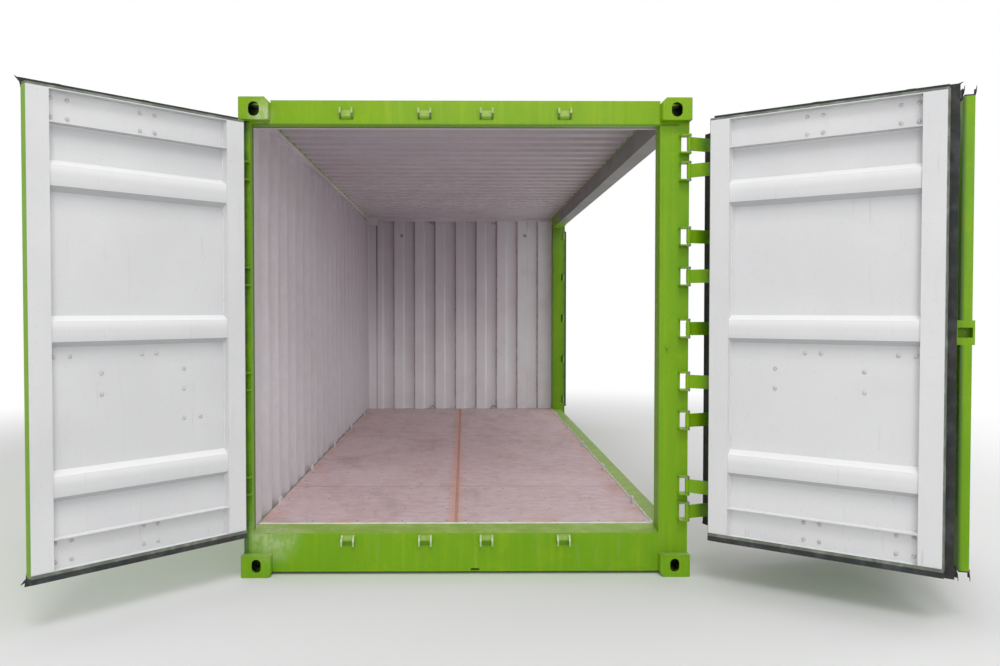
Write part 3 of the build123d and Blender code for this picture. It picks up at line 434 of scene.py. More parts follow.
def leaf_shade(low, high, banded):
    """White with a painted highlight on upward edges and painted shade on downward ones; on a banded leaf from
    low to high also a painted highlight high on each band's face, painted shade low on it, and painted shadow
    below each band and below the top rail.
    """
    def shade(coat, colour):
        up = coat.parts(coat.normal)[2]
        colour = coat.mix(coat.ramp(up, 0.1, 0.5) * 0.75, colour, HIGHLIGHT_WHITE)
        colour = coat.mix(coat.ramp(up, -0.1, -0.5) * 0.75, colour, SHADE_GREY)
        if not banded:
            return colour
        # Painted highlight and shade on each band's face, and painted shadow below it
        for middle in np.linspace(low + BAND_FROM_END, high - BAND_FROM_END, 3):
            above = coat.z - float(middle)
            face = coat.ramp(abs(above), BAND_HALF, BAND_HALF - 0.03)
            colour = coat.mix(face * coat.ramp(above, -0.01, 0.047) * 0.55, colour, HIGHLIGHT_WHITE)
            colour = coat.mix(face * coat.ramp(above, -0.01, -0.05) * 0.2, colour, SHADE_GREY)
            under = coat.ramp(above, -BAND_HALF - 0.11, -BAND_HALF) * (above < -BAND_HALF)
            colour = coat.mix(under * 0.4, colour, SHADE_GREY)
        # Painted shadow below the leaf's top rail
        rail = coat.ramp(coat.z, high - 0.30, high - 0.17) * (coat.z < high - 0.16)
        return coat.mix(rail * 0.35, colour, SHADE_GREY)
    return shade


def lime_paint(name="lime_paint", dirt_and_shade_of=None):
    """Lime paint all over, with dirt, wear and painted light and shade where dirt_and_shade_of adds them."""
    coat = Coat(name)
    colour, roughness, relief = lime_look(coat)
    if dirt_and_shade_of:
        colour = dirt_and_shade_of(coat, colour)
    return coat.finish(colour, roughness, relief, 0.0006, coat=0.04, specular=0.22)


def white_paint():
    """The doors' white paint all over."""
    coat = Coat("white_paint")
    colour, roughness, relief = white_look(coat, DOOR_WHITE, DOOR_GREY, DUST)
    return coat.finish(colour, roughness, relief, 0.0006, coat=0.05)


def bolt_paint():
    """White paint on bolt heads, greyer and dirtier than the sheet."""
    coat = Coat("bolt_paint")
    dirt = coat.ramp(coat.noise(60.0, 4.0, 0.7), 0.35, 0.65)
    colour = coat.mix(dirt * 0.6, DOOR_GREY, DUST)
    return coat.finish(colour, 0.45 + dirt * 0.2, coat.noise(300.0, 2.0), 0.0003)


def dirty_white():
    """White paint that is mostly covered by grey-brown dirt."""
    coat = Coat("dirty_white")
    dirt = coat.ramp(coat.noise(50.0, 4.0, 0.7), 0.3, 0.6)
    colour = coat.mix(0.4 + dirt * 0.5, ROOM_GREY, SEAM)
    return coat.finish(colour, 0.5 + dirt * 0.2, coat.noise(240.0, 2.0), 0.0003)


def frame_mask(leaf):
    """White on the leaf's inner faces and inside its channels, lime on its outer side and edges."""
    def mask(coat):
        u, w = leaf.along_of(coat), leaf.depth_of(coat)
        face = w > LEAF_FACE - 0.0005
        back = SHEET_BACK + 0.0005
        for middle in np.linspace(leaf.low + BAND_FROM_END, leaf.high - BAND_FROM_END, 3):
            back = coat.ramp(abs(coat.z - float(middle)), BAND_HALF, BAND_HALF - 0.024) * 0.036 + back
        inside = (w - back > 0.0) * (u > leaf.start + STILE - 0.001) * (u < leaf.end - STILE + 0.001)
        inside = inside * (coat.z > leaf.low + 0.001) * (coat.z < leaf.high - 0.001)
        return face + inside * (1 - face)
    return mask


def sheet_mask(leaf):
    """White on the sheet's side that looks into the container."""
    return leaf.faces_inward


def post_dirt_and_shade(coat, lime):
    """Dirt and painted shade, patchy, along both edges and at the head of the far post on the open side, and a
    little all over.
    """
    edge = coat.ramp(abs(coat.y - FAR_POST_Y), 0.045, 0.09)
    head = coat.ramp(coat.z, 2.15, 2.42)
    rub = coat.ramp(coat.noise(14.0, 4.0, 0.7), 0.3, 0.7)
    return coat.mix((edge * 0.55 + head * 0.35 + 0.1) * (0.5 + rub * 0.5), lime, TEAL_SHADE_AND_DIRT)


def edge_shadow(leaf):
    """Painted shadow on the free edge of a folded leaf, darkest beside its outer face."""
    def dirt(coat, lime):
        outer = coat.ramp(leaf.depth_of(coat), LEAF_BACK + 0.022, LEAF_BACK)
        edge = (leaf.along_of(coat) > leaf.end - 0.004) * outer
        return coat.mix(edge * 0.85, lime, TEAL_SHADE_AND_DIRT)
    return dirt


def pair_mask(first, second, mask_of):
    """Uses the first leaf's mask on its side of the fold's bisector, and the second's on the other."""
    def mask(coat):
        bisector = second.along - first.along
        across = np.array((-bisector[1], bisector[0]))
        side = (coat.x - second.pin[0]) * across[0] + (coat.y - second.pin[1]) * across[1]
        sign = 1.0 if np.dot(across, -first.along) > 0 else -1.0
        on_first = side * sign > 0.0
        return mask_of(first)(coat) * on_first + mask_of(second)(coat) * (1 - on_first)
    return mask


def room_mask(*sides):
    """White where the surface looks into the container: sides are pairs of an axis and a sign."""
    def mask(coat):
        outside = 1.0
        for axis, sign in sides:
            outside = (coat.parts(coat.normal)[axis] * -sign > -0.02) * outside
        return 1.0 - outside
    return mask


def below_roof(mask_of, top=ROOF_UNDER):
    """The mask of a top rail, only below the roof sheet."""
    def mask(coat):
        return mask_of(coat) * (coat.z < top)
    return mask


def behind_reveal(mask_of):
    """The mask of a post's or header's inner sides, only behind the lime reveal."""
    def mask(coat):
        return mask_of(coat) * (coat.x > REVEAL_X)
    return mask


def reveal_dirt_and_shade(coat, lime):
    """Dark dirt at the back edge of the lime reveal, where the doors' seals press, and on the left post's face
    a film of dirt and a painted shadow behind the left door's edge and under the top fitting.
    """
    facing = coat.parts(coat.normal)
    inner = (facing[1] < -0.3) + (facing[2] < -0.3)
    dirt = coat.ramp(abs(coat.x - REVEAL_X), 0.045, 0.008) * inner
    post = (coat.y > LEFT_POST_Y) * (coat.x < REVEAL_X) * (facing[1] < 0.5)
    # Painted shadow behind the left door's edge and under the top fitting
    shade_behind_door = coat.ramp(coat.y, 1.178, 1.194) * 0.55 + coat.ramp(coat.z, 2.34, 2.45) * 0.35
    film = coat.ramp(coat.noise(16.0, 5.0, 0.7), 0.35, 0.65) * 0.25
    return coat.mix(dirt * 0.85 + post * (shade_behind_door + film), lime, TEAL_SHADE_AND_DIRT)


def rail_mask(coat):
    """Room paint on the open side's top rail, giving way to lime near its far end."""
    zone = coat.ramp(coat.x + coat.noise(5.0, 4.0, 0.6) * 0.8, 2.9, 2.2)
    return room_mask((1, 1.0), (2, -1.0))(coat) * zone


def rail_top_mask(coat):
    """Room paint on the rear bottom rail's top, as far as the wall's folds reach."""
    return (coat.parts(coat.normal)[2] > 0.5) * (coat.x < 3.010)


def corner_mask(coat):
    """Room paint on the far left post's inner faces, as far as the side sheet's inner folds."""
    return room_mask((0, -1.0), (1, -1.0))(coat) * (coat.y < 1.180)


def fitting_mask(coat):
    """Room paint on the faces of the far left fitting that look into the container."""
    far = (coat.x > 2.8) * (coat.y > 0.9) * (coat.x < 3.0) * (coat.y < 1.2)
    return room_mask((0, -1.0), (1, -1.0), (2, -1.0))(coat) * far


def fittings(name, base):
    """Lime castings with painted shade in their hollows; base is the height of their lower faces."""
    coat = Coat(name)
    lime = lime_look(coat)
    pale = white_look(coat, **room)
    colour = coat.mix(fitting_mask(coat), lime[0], pale[0])
    # Painted shade inside the hollows
    hollow_shade = coat.ramp(abs(abs(coat.x) - FITTING_X), 0.082, 0.074)
    hollow_shade = hollow_shade * coat.ramp(abs(abs(coat.y) - FITTING_Y), 0.074, 0.066)
    hollow_shade = hollow_shade * coat.ramp(abs(coat.z - base - FITTING_HALF), 0.052, 0.044)
    colour = coat.mix(hollow_shade * 0.92, colour, HOLLOW_SHADE)
    return coat.finish(colour, lime[1], lime[2], 0.0006, coat=0.04, specular=0.22)


def blade_shadow(coat, lime):
    """Painted shadow of the leaves on the hinge blades of the open side's front post, patchy and deeper towards
    the leaves, and painted shade underneath.
    """
    away = coat.ramp(coat.y, -1.235, -1.330) * (coat.x < -2.8)
    colour = coat.mix(away * (0.45 + coat.ramp(coat.noise(18.0, 4.0, 0.7), 0.35, 0.65) * 0.4), lime, LIME_SHADE_AND_DIRT)
    return coat.mix(coat.ramp(coat.parts(coat.normal)[2], -0.1, -0.5) * 0.7, colour, TEAL_SHADE_AND_DIRT)


def keeper_wear_and_shade(coat, lime):
    """Keepers pale on top with dust and a painted highlight, worn pale on their jaws' edges and where the cams
    rub, with a painted shadow on the base plates below the worn band, and painted shade on downward faces.
    """
    up = coat.parts(coat.normal)[2]
    facing = coat.parts(coat.normal)[0]
    wear = 0.5 + coat.ramp(coat.noise(40.0, 4.0, 0.7), 0.35, 0.6) * 0.5
    # Upward faces paler: dust with a painted highlight
    colour = coat.mix(coat.ramp(up, 0.1, 0.5) * wear, lime, CHALK_PALE)
    colour = coat.mix(coat.ramp(coat.x, -2.980, -2.995) * (facing < -0.3) * wear * 0.6, colour, CHALK_PALE)
    base = (facing < -0.5) * (coat.x > -2.980)
    for worn_low, worn_high in (SILL_KEEPER_WORN, HEADER_KEEPER_WORN):
        middle, reach = (worn_low + worn_high) / 2, (worn_high - worn_low) / 2
        zone = coat.ramp(abs(coat.z - middle), reach, reach - 0.008)
        colour = coat.mix(base * zone * wear * 0.8, colour, CHALK)
    shadow = coat.ramp(coat.z, 2.500, 2.490) * (coat.z > 1.0) + coat.ramp(coat.z, 0.188, 0.180) * (coat.z < 1.0)
    colour = coat.mix(base * shadow * 0.5, colour, LIME_SHADE_AND_DIRT)
    # Painted shade on downward faces
    return coat.mix(coat.ramp(up, -0.1, -0.5) * 0.7, colour, LIME_SHADE_AND_DIRT)


def rubber(name="gasket_rubber", leaf=None):
    """Black gasket rubber with pale dust in soft patches, mostly on top, and brown smears."""
    coat = Coat(name)
    dust = coat.ramp(coat.noise(14.0, 4.0, 0.6), 0.4, 0.75)
    smear = coat.ramp(coat.noise(5.0, 5.0, 0.65, coat.stretch(3.0, 3.0, 0.6)), 0.5, 0.68)
    lying = coat.ramp(coat.parts(coat.normal)[2], 0.5, 0.95)
    grain = coat.noise(260.0, 2.0)
    colour = coat.mix(dust * 0.5 + lying * 0.4, RUBBER, RUBBER_DUSTY)
    colour = coat.mix(smear * 0.35, colour, RUBBER_BROWN)
    if leaf:
        strip = coat.ramp(leaf.depth_of(coat), LEAF_BACK + 0.004, LEAF_BACK + 0.008)
        strip = strip * (coat.z > leaf.low - 0.007)
        colour = coat.mix(strip * (0.35 + dust * 0.4), colour, RUBBER_PALE)
    return coat.finish(colour, 0.6 + dust * 0.2, grain + dust * 0.3, 0.0004, specular=0.3)


def plywood():
    """Container floor: soft mottling, short grain along the boards, scuffs, knocks, orange edges and joints."""
    coat = Coat("floor_plywood")
    grain = coat.noise(26.0, 5.0, 0.65, coat.stretch(1.0, 0.45, 1.0))
    fine = coat.noise(150.0, 3.0, 0.6, coat.stretch(1.0, 0.3, 1.0))
    cloud = coat.ramp(coat.noise(1.3, 5.0, 0.6), 0.35, 0.7)
    blotch = coat.ramp(coat.noise(3.1, 5.0, 0.7, coat.stretch(0.8, 1.3, 1.0)), 0.45, 0.7)
    scuff = coat.ramp(coat.noise(11.0, 5.0, 0.75, coat.stretch(0.5, 1.8, 1.0)), 0.56, 0.7)
    knock = coat.ramp(coat.noise(34.0, 3.0, 0.7), 0.68, 0.74)
    edge = coat.ramp(abs(coat.y - STRIP_Y), 0.94, 1.09)
    front = coat.ramp(coat.x, -2.62, -2.80)
    colour = coat.mix(coat.ramp(grain, 0.3, 0.7), PLY, PLY_DARK)
    colour = coat.mix(cloud * 0.4, colour, PLY_PALE)
    colour = coat.mix(blotch * 0.4, colour, PLY_WARM)
    zone = coat.ramp(coat.noise(1.9, 6.0, 0.7, coat.stretch(0.7, 1.5, 1.0)), 0.5, 0.72)
    colour = coat.mix(zone * 0.5, colour, PLY_GREY)
    colour = coat.mix(scuff * 0.3, colour, DUST)
    stain = coat.ramp(coat.noise(5.0, 4.0, 0.7), 0.42, 0.62)
    colour = coat.mix(stain * (edge + front * (1 - edge)) * 0.5, colour, PLY_ORANGE)
    bleed = coat.ramp(abs(coat.y - STRIP_Y - 0.01) + coat.noise(6.0, 3.0) * 0.04, 0.085, 0.02)
    colour = coat.mix(bleed * 0.6, colour, PLY_ORANGE)
    for joint in BOARD_JOINTS:
        broken = 0.35 + coat.ramp(coat.noise(4.0), 0.4, 0.6) * 0.65
        seam = coat.ramp(abs(coat.x - joint), 0.008, 0.003) * broken
        colour = coat.mix(seam * 0.5, colour, SEAM)
    colour = coat.mix(knock * 0.4, colour, GRIME)
    colour = coat.mix(coat.parts(coat.normal)[0] < -0.5, colour, LIME_DEEP)
    roughness = 0.66 + scuff * 0.16
    return coat.finish(colour, roughness, grain * 0.5 + fine * 0.5 - knock * 0.6, 0.0008)


def rusty_strip():
    """Steel strip between the boards, mostly worn to the boards' colour, with thin orange rust."""
    coat = Coat("rusty_strip")
    patch = coat.ramp(coat.noise(6.0, 5.0, 0.7, coat.stretch(0.6, 3.0, 3.0)), 0.35, 0.7)
    pits = coat.noise(120.0, 4.0, 0.7)
    colour = coat.mix(patch * 0.45, RUST_PALE, RUST)
    colour = coat.mix(0.25 + coat.ramp(pits, 0.5, 0.7) * 0.5, colour, PLY_DARK)
    return coat.finish(colour, 0.75 + patch * 0.1, pits, 0.0008)


def zinc():
    """Zinc-coated steel with rust at its edges and in small spots."""
    coat = Coat("zinc_steel")
    spots = coat.ramp(coat.noise(46.0, 4.0, 0.7), 0.52, 0.66)
    colour = coat.mix(spots * 0.8, STEEL, RUST)
    return coat.finish(colour, 0.4 + spots * 0.4, coat.noise(200.0, 3.0), 0.0004, metallic=0.8 - spots * 0.7)


def sealant():
    """Pale sealant with dust caught in it."""
    coat = Coat("sealant")
    dirt = coat.ramp(coat.noise(20.0, 4.0, 0.7), 0.5, 0.75)
    colour = coat.mix(dirt * 0.5, SEALANT, DUST)
    return coat.finish(colour, 0.55 + dirt * 0.2, coat.noise(90.0, 3.0), 0.0008)


lime_finish = lime_paint()
white_finish = white_paint()
rubber_finish = rubber()
zinc_finish = zinc()
sealant_finish = sealant()
bolt_finish = bolt_paint()
seam_finish = dirty_white()
keeper_finish = lime_paint("keeper_paint", keeper_wear_and_shade)
blade_finish = lime_paint("blade_paint", blade_shadow)
room = {"white": ROOM_WHITE, "grey": ROOM_GREY, "stain": ROOM_BROWN}
room_rail = {**room, "grey": ROOM_GREY_AND_SHADE}
side_rail = {"white": RAIL_DUST_AND_SHADE, "grey": RAIL_DEEP, "stain": ROOM_BROWN}
edge_shade = leaf_shade(END_LOW, END_HIGH, False)
band_shade = leaf_shade(END_LOW, END_HIGH, True)
finishes = {
    "floor_boards": plywood(),
    "floor_centre_strip": rusty_strip(),
    "roof_panel": two_tone("roof_sheet", room_mask((2, -1.0)), **room,
                           shade_of=folds_shade(0, start=0.6, end=-2.9, strength=0.75, fold_dirt_and_shade=0.3)),
    "left_side_wall": two_tone("side_sheet", room_mask((1, -1.0)), **room,
                               shade_of=folds_shade(0, start=-2.75, end=1.6, strength=0.9, fold_dirt_and_shade=0.2)),
    "rear_wall": two_tone("rear_sheet", room_mask((0, -1.0)), **room,
                          shade_of=folds_shade(1, start=2.8, end=2.85, strength=0.3, fold_dirt_and_shade=0.7,
                                               line=REAR_FOLD_Y)),
    "rear_bottom_rail": two_tone("rear_bottom_rail", rail_top_mask, **room),
    "left_top_rail": two_tone("left_top_rail", below_roof(room_mask((1, -1.0), (2, -1.0))), **room_rail),
    "rear_top_rail": two_tone("rear_top_rail", below_roof(room_mask((0, -1.0), (2, -1.0)), CREST_UNDER),
                              **room_rail),
    "right_top_rail": two_tone("right_top_rail", below_roof(rail_mask), **side_rail),
    "door_header": two_tone("door_header", below_roof(behind_reveal(room_mask((0, 1.0), (2, -1.0)))),
                            **room_rail, dirt_and_shade_of=reveal_dirt_and_shade),
    "left_front_post": two_tone("left_front_post", behind_reveal(room_mask((1, -1.0))), **room,
                                dirt_and_shade_of=reveal_dirt_and_shade),
    "left_rear_post": two_tone("left_rear_post", corner_mask, **room),
    "left_door_frame": two_tone("left_leaf_frame", frame_mask(left_leaf), shade_of=edge_shade),
    "right_door_frame": two_tone("right_leaf_frame", frame_mask(right_leaf), shade_of=edge_shade),
    "left_door_panel": two_tone("left_leaf_sheet", sheet_mask(left_leaf), shade_of=band_shade),
    "right_door_panel": two_tone("right_leaf_sheet", sheet_mask(right_leaf), shade_of=band_shade),
    "front_side_frames": two_tone("front_pair_frames", pair_mask(front_leaf, front_folded, frame_mask),
                                  dirt_and_shade_of=edge_shadow(front_folded)),
    "right_rear_post": lime_paint("right_rear_post", post_dirt_and_shade),
    "rear_side_frames": two_tone("rear_pair_frames", pair_mask(rear_leaf, rear_folded, frame_mask)),
    "front_side_panels": two_tone("front_pair_sheets", pair_mask(front_leaf, front_folded, sheet_mask)),
    "rear_side_panels": two_tone("rear_pair_sheets", pair_mask(rear_leaf, rear_folded, sheet_mask)),
    "right_door_hinges": blade_finish,
    "front_side_hinges": blade_finish,
    "hinge_pins": zinc_finish,
    "fold_pins": zinc_finish,
    "lashing_rings": white_finish,
    "top_corner_fittings": fittings("top_fittings", TOP_FITTING_FOOT),
    "bottom_corner_fittings": fittings("bottom_fittings", 0.0),
    "end_keepers": keeper_finish,
    "side_keepers": keeper_finish,
    "left_door_seal": rubber("left_door_rubber", left_leaf),
    "right_door_seal": rubber("right_door_rubber", right_leaf),
}
for name, node in nodes.items():
    finish = finishes.get(name, rubber_finish if name.endswith(("seal", "seals")) else lime_finish)
    for slot in node.material_slots:
        slot.material = finish


# Making meshes from arrays
def add_piece(name, points, faces, finish, body, smooth=False):
    """Makes an object at the origin from arrays of points and faces, for a body to carry and a material slot."""
    mesh = bpy.data.meshes.new(name)
    mesh.from_pydata(np.asarray(points).reshape(-1, 3).tolist(), [], [list(face) for face in faces])
    mesh.validate()
    if smooth:
        mesh.shade_smooth()
    mesh.materials.append(finish)
    piece = bpy.data.objects.new(name, mesh)
    bpy.context.scene.collection.objects.link(piece)
    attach(piece, body)
    return piece


def ring_faces(rings, sides):
    """Quads between neighbouring rings of points, with so many rings and sides, and one face at each end."""
    i, j = np.meshgrid(np.arange(rings - 1), np.arange(sides), indexing="ij")
    here, right = i * sides + j, i * sides + (j + 1) % sides
    quads = np.stack([here, right, right + sides, here + sides], axis=-1).reshape(-1, 4).tolist()
    return quads + [list(range(sides))[::-1], list(range((rings - 1) * sides, rings * sides))]


def outward(points, faces):
    """Turns the faces over if the closed shape they bound has a negative volume."""
    points = np.asarray(points).reshape(-1, 3)
    middle = points.mean(axis=0)
    volume = sum(np.dot(points[f[0]] - middle, np.cross(points[f[k]] - middle, points[f[k + 1]] - middle))
                 for f in faces for k in range(1, len(f) - 1))
    return faces if volume > 0 else [f[::-1] for f in faces]


def dome(radius, height, sides=12):
    """Bolt head: rings of radius r cos(t) at height h sin(t), with t from 0 to nearly a quarter turn."""
    t = np.array((-0.15, 0.0, 0.45, 0.95, 1.35))
    a = np.linspace(0, 2 * np.pi, sides, endpoint=False)
    reach = radius * np.cos(np.maximum(t, 0.0))
    rise = np.where(t < 0, -0.15 * height, height * np.sin(np.maximum(t, 0.0)))
    points = np.stack([reach[:, None] * np.cos(a), reach[:, None] * np.sin(a),
                       np.broadcast_to(rise[:, None], (len(t), sides))], axis=-1)
    return points.reshape(-1, 3), ring_faces(len(t), sides)


def scatter(shape, places, first, second, axis):
    """Copies of a shape at the places, with its own axes along three given directions."""
    points, faces = shape
    count = len(points)
    spots = points @ np.stack([first, second, axis]) + np.asarray(places)[:, None, :]
    shift = np.arange(len(places)) * count
    all_faces = [[v + s for v in face] for s in shift for face in faces]
    return spots.reshape(-1, 3), all_faces


def bolts_on(leaf, name, spots, body):
    """Round bolt heads on the inner side of a leaf's sheet, at pairs of u and z."""
    spots = np.array(spots)
    places = leaf.at(spots[:, 0], BOLT_SEAT, spots[:, 1])
    axis = np.append(leaf.inward, 0.0)
    first = np.append(leaf.along, 0.0)
    second = np.cross(axis, first)
    points, faces = scatter(dome(BOLT_RADIUS, BOLT_HEIGHT), places, first, second, axis)
    return add_piece(name, points, faces, bolt_finish, body, smooth=True)


def rod_bolt_spots(rods, low, high):
    """Where the bolts of the rod brackets, guides and handle retainers come through: pairs of u and z."""
    spots = []
    for rod in rods:
        for level in (low + BRACKET_FROM_END, high - BRACKET_FROM_END):
            spots += [(rod + du, level + dz) for du in (-BOLT_ALONG, BOLT_ALONG) for dz in (-BOLT_UP, BOLT_UP)]
        spots += [(rod + du, GUIDE_LEVEL) for du in (-BOLT_ALONG, BOLT_ALONG)]
        spots += [(rod - RETAINER_AWAY, level) for level in RETAINER_LEVELS]
    return spots


# The lock rods' places along the leaves, and two bolts low on the left door's sheet
left_rods = (0.9805, 0.5575)
right_rods = (1.0915, 0.6685)
low_bolts = [(0.281, 0.906), (0.374, 0.906)]
bolts_on(left_leaf, "left_door_bolts", rod_bolt_spots(left_rods, END_LOW, END_HIGH) + low_bolts, "left_door")
bolts_on(right_leaf, "right_door_bolts", rod_bolt_spots(right_rods, END_LOW, END_HIGH), "right_door")


def bead(name, start, end, size, body, finish, up=(0.0, 0.0, 1.0)):
    """A bead laid along a line: each ring has radius size times 1 plus two slow sines of the way along."""
    start, end = np.array(start), np.array(end)
    length = np.linalg.norm(end - start)
    rings = max(int(length / 0.02), 4)
    s = np.linspace(0.0, 1.0, rings)
    way = s * length
    radius = size * (1 + 0.16 * np.sin(way * 61.0) + 0.12 * np.sin(way * 23.0 + 1.3))
    a = np.linspace(0, 2 * np.pi, 8, endpoint=False)
    along = (end - start) / length
    side = np.cross(along, up)
    lift = np.cross(side, along)
    points = start + way[:, None, None] * along + radius[:, None, None] * (
        np.cos(a)[None, :, None] * side + np.sin(a)[None, :, None] * lift)
    faces = outward(points, ring_faces(rings, 8))
    return add_piece(name, points, faces, finish, body, smooth=True)


# Sealant along the floor's front and right edges
floor_low, floor_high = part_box("floor_boards")
floor_corner = (floor_low.x, floor_low.y, floor_high.z)
for side_name, stop in (("front", (floor_low.x, floor_high.y, floor_high.z)),
                        ("right", (floor_high.x, floor_low.y, floor_high.z))):
    bead(f"sealant_{side_name}", floor_corner, stop, 0.006, "container", sealant_finish)


# Sloping plate that carries the sill's fall across its left toe
toe_x = np.array((SILL_FACE_X, SILL_BACK_X, SILL_BACK_X, SILL_FACE_X))
toe_y = np.array((TOE_RIGHT_Y, TOE_LEFT_Y))[:, None] + 0 * toe_x
toe_z = np.array((SILL_FRONT_TOP - 0.0012, SILL_FRONT_TOP - 0.0012, SILL_BACK_TOP, SILL_FRONT_TOP))
toe_points = np.stack([toe_x + 0 * toe_y, toe_y, toe_z + 0 * toe_y], axis=-1)
add_piece("sill_toe_plate", toe_points, outward(toe_points, ring_faces(2, 4)), lime_finish, "container")


# Weld beads across the posts' faces where they meet the corner fittings
WELD_INNER_Y, WELD_OUTER_Y, WELD_SIZE = 1.065, 1.205, 0.004
for end, face_node in (("front", "left_front_post"), ("rear", "left_rear_post")):
    face_low, face_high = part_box(face_node)
    face_x = face_low.x if end == "front" else face_high.x
    for side_name, side in (("left", 1.0), ("right", -1.0)):
        for level_name, level in (("low", face_low.z), ("high", face_high.z)):
            name = f"weld_{end}_{side_name}_{level_name}"
            start, stop = ((face_x, side * y, level) for y in (WELD_INNER_Y, WELD_OUTER_Y))
            bead(name, start, stop, WELD_SIZE, "container", lime_finish)


# Rubber flap along the right door's free edge, lapping over the left door when both are shut
def free_flap():
    """Flat profile in u and w along z; its tip wanders by a sum of two sines of the height."""
    z = np.linspace(END_LOW - 0.046, END_HIGH + 0.031, 90)
    u = right_leaf.end + np.array((-0.010, -0.002, -0.002, 0.040, 0.040, -0.010))
    w = np.array((0.0402, 0.0402, 0.0335, 0.0335, 0.0300, 0.0300))
    tip = np.array((0.0, 0.0, 0.0, 1.0, 1.0, 0.0))
    wander = 0.0011 * np.sin(z * 9.0) + 0.0008 * np.sin(z * 31.0 + 0.6)
    points = right_leaf.at(u + tip * wander[:, None], w - tip * np.abs(wander)[:, None], z[:, None])
    faces = outward(points, ring_faces(len(z), len(u)))
    return add_piece("right_door_free_flap", points, faces, rubber_finish, "right_door")


free_flap()


def seal_tip(name, leaf, top, body, reach=0.045, depth=0.0376, curl=0.003):
    """Mitred end of a seal: flat rings whose height shrinks to a point past the leaf's free corner."""
    s = np.linspace(0.0, 1.0, 9)
    sign, edge = (1.0, leaf.high) if top else (-1.0, leaf.low)
    half = 0.016 * (1.0 - s) + 0.0008
    u = leaf.end - 0.02 + s * (reach + 0.02)
    z = edge + sign * (0.014 + 0.022 * s ** 2)
    w = depth + curl * np.sin(s * 3.0)
    side_z = np.array((-1.0, 1.0, 1.0, -1.0))
    side_w = np.array((-0.0014, -0.0014, 0.0014, 0.0014))
    points = leaf.at(u[:, None], w[:, None] + side_w, z[:, None] + half[:, None] * side_z)
    faces = outward(points, ring_faces(len(s), 4))
    return add_piece(name, points, faces, rubber_finish, body)


for top, level in ((True, "top"), (False, "foot")):
    seal_tip(f"left_door_seal_tip_{level}", left_leaf, top, "left_door", reach=0.026, depth=0.0422, curl=0.0)
    seal_tip(f"right_door_seal_tip_{level}", right_leaf, top, "right_door", reach=0.052, depth=0.0305)
    seal_tip(f"front_pair_seal_tip_{level}", front_folded, top, "container")
    seal_tip(f"front_pair_inner_tip_{level}", front_folded, top, "container", reach=0.03, depth=0.088)
    seal_tip(f"rear_pair_seal_tip_{level}", rear_folded, top, "container")


# Small half rings at the rear wall: hanging at its head and standing at its foot
def half_ring(name, place, width, height):
    """Half a hoop across x: y goes with the cosine and z with the sine of half a turn.

    A height below 0 makes it hang.
    """
    turn = np.linspace(0.0, np.pi, 15)
    a = np.linspace(0, 2 * np.pi, 8, endpoint=False)
    swell = 0.004 * np.cos(a)
    ring_y = place[1] + np.cos(turn)[:, None] * (width + swell)
    ring_z = place[2] + np.sin(turn)[:, None] * (height + math.copysign(1.0, height) * swell)
    ring_x = place[0] + 0.004 * np.sin(a) + 0 * ring_y
    points = np.stack([ring_x, ring_y, ring_z], axis=-1)
    faces = outward(points, ring_faces(len(turn), len(a)))
    return add_piece(name, points, faces, seam_finish, "container", smooth=True)


rail_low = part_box("rear_top_rail")[0]
for side_name, y in (("left", 0.392), ("right", -0.352)):
    head = (rail_low.x + 0.006, y, rail_low.z + 0.002)
    foot = (rail_low.x - 0.012, y, floor_high.z - 0.002)
    half_ring(f"head_ring_{side_name}", head, 0.026, -0.034)
    half_ring(f"foot_ring_{side_name}", foot, 0.034, 0.040)


# Sealant along the joints between the end doors' stiles and sheets
for door, leaf in (("left_door", left_leaf), ("right_door", right_leaf)):
    for edge_name, u in (("hinge", leaf.start + STILE), ("free", leaf.end - STILE)):
        ends = leaf.at(np.array((u, u)), 0.0470, np.array((leaf.low + 0.06, leaf.high - 0.06)))
        bead(f"{door}_sealant_{edge_name}", ends[0], ends[1], 0.003, door, sealant_finish,
             up=(*leaf.inward, 0.0))


# Screws that hold the boards to the cross members
def screw_head(radius, height, sides=8):
    """A flat disc: a ring of the radius at the floor and a smaller one at the height."""
    a = np.linspace(0, 2 * np.pi, sides, endpoint=False)
    reach = np.array((1.0, 1.0, 0.8))[:, None] * radius
    rise = np.array((-0.001, 0.3 * height, height))[:, None]
    points = np.stack([reach * np.cos(a), reach * np.sin(a), rise + 0 * a], axis=-1)
    return points.reshape(-1, 3), ring_faces(3, sides)


SCREW_SPACING, SCREW_FROM_EDGE, SCREW_FROM_END, SCREW_PAST_STRIP = 0.3, 0.04, 0.06, 0.11
rows = np.arange(floor_low.x + SCREW_FROM_END, floor_high.x - SCREW_FROM_END / 2, SCREW_SPACING)
across = np.concatenate([np.linspace(floor_low.y + SCREW_FROM_EDGE, 0.0, 5),
                         np.linspace(SCREW_PAST_STRIP, floor_high.y - SCREW_FROM_EDGE, 5)])
screw_x, screw_y = (grid.ravel() for grid in np.meshgrid(rows, across))
screw_places = np.stack([screw_x, screw_y, np.full_like(screw_x, floor_high.z)], axis=-1)
screw_points, screw_faces = scatter(screw_head(0.007, 0.0012), screw_places, *np.eye(3))
add_piece("floor_screws", screw_points, screw_faces, zinc_finish, "container")


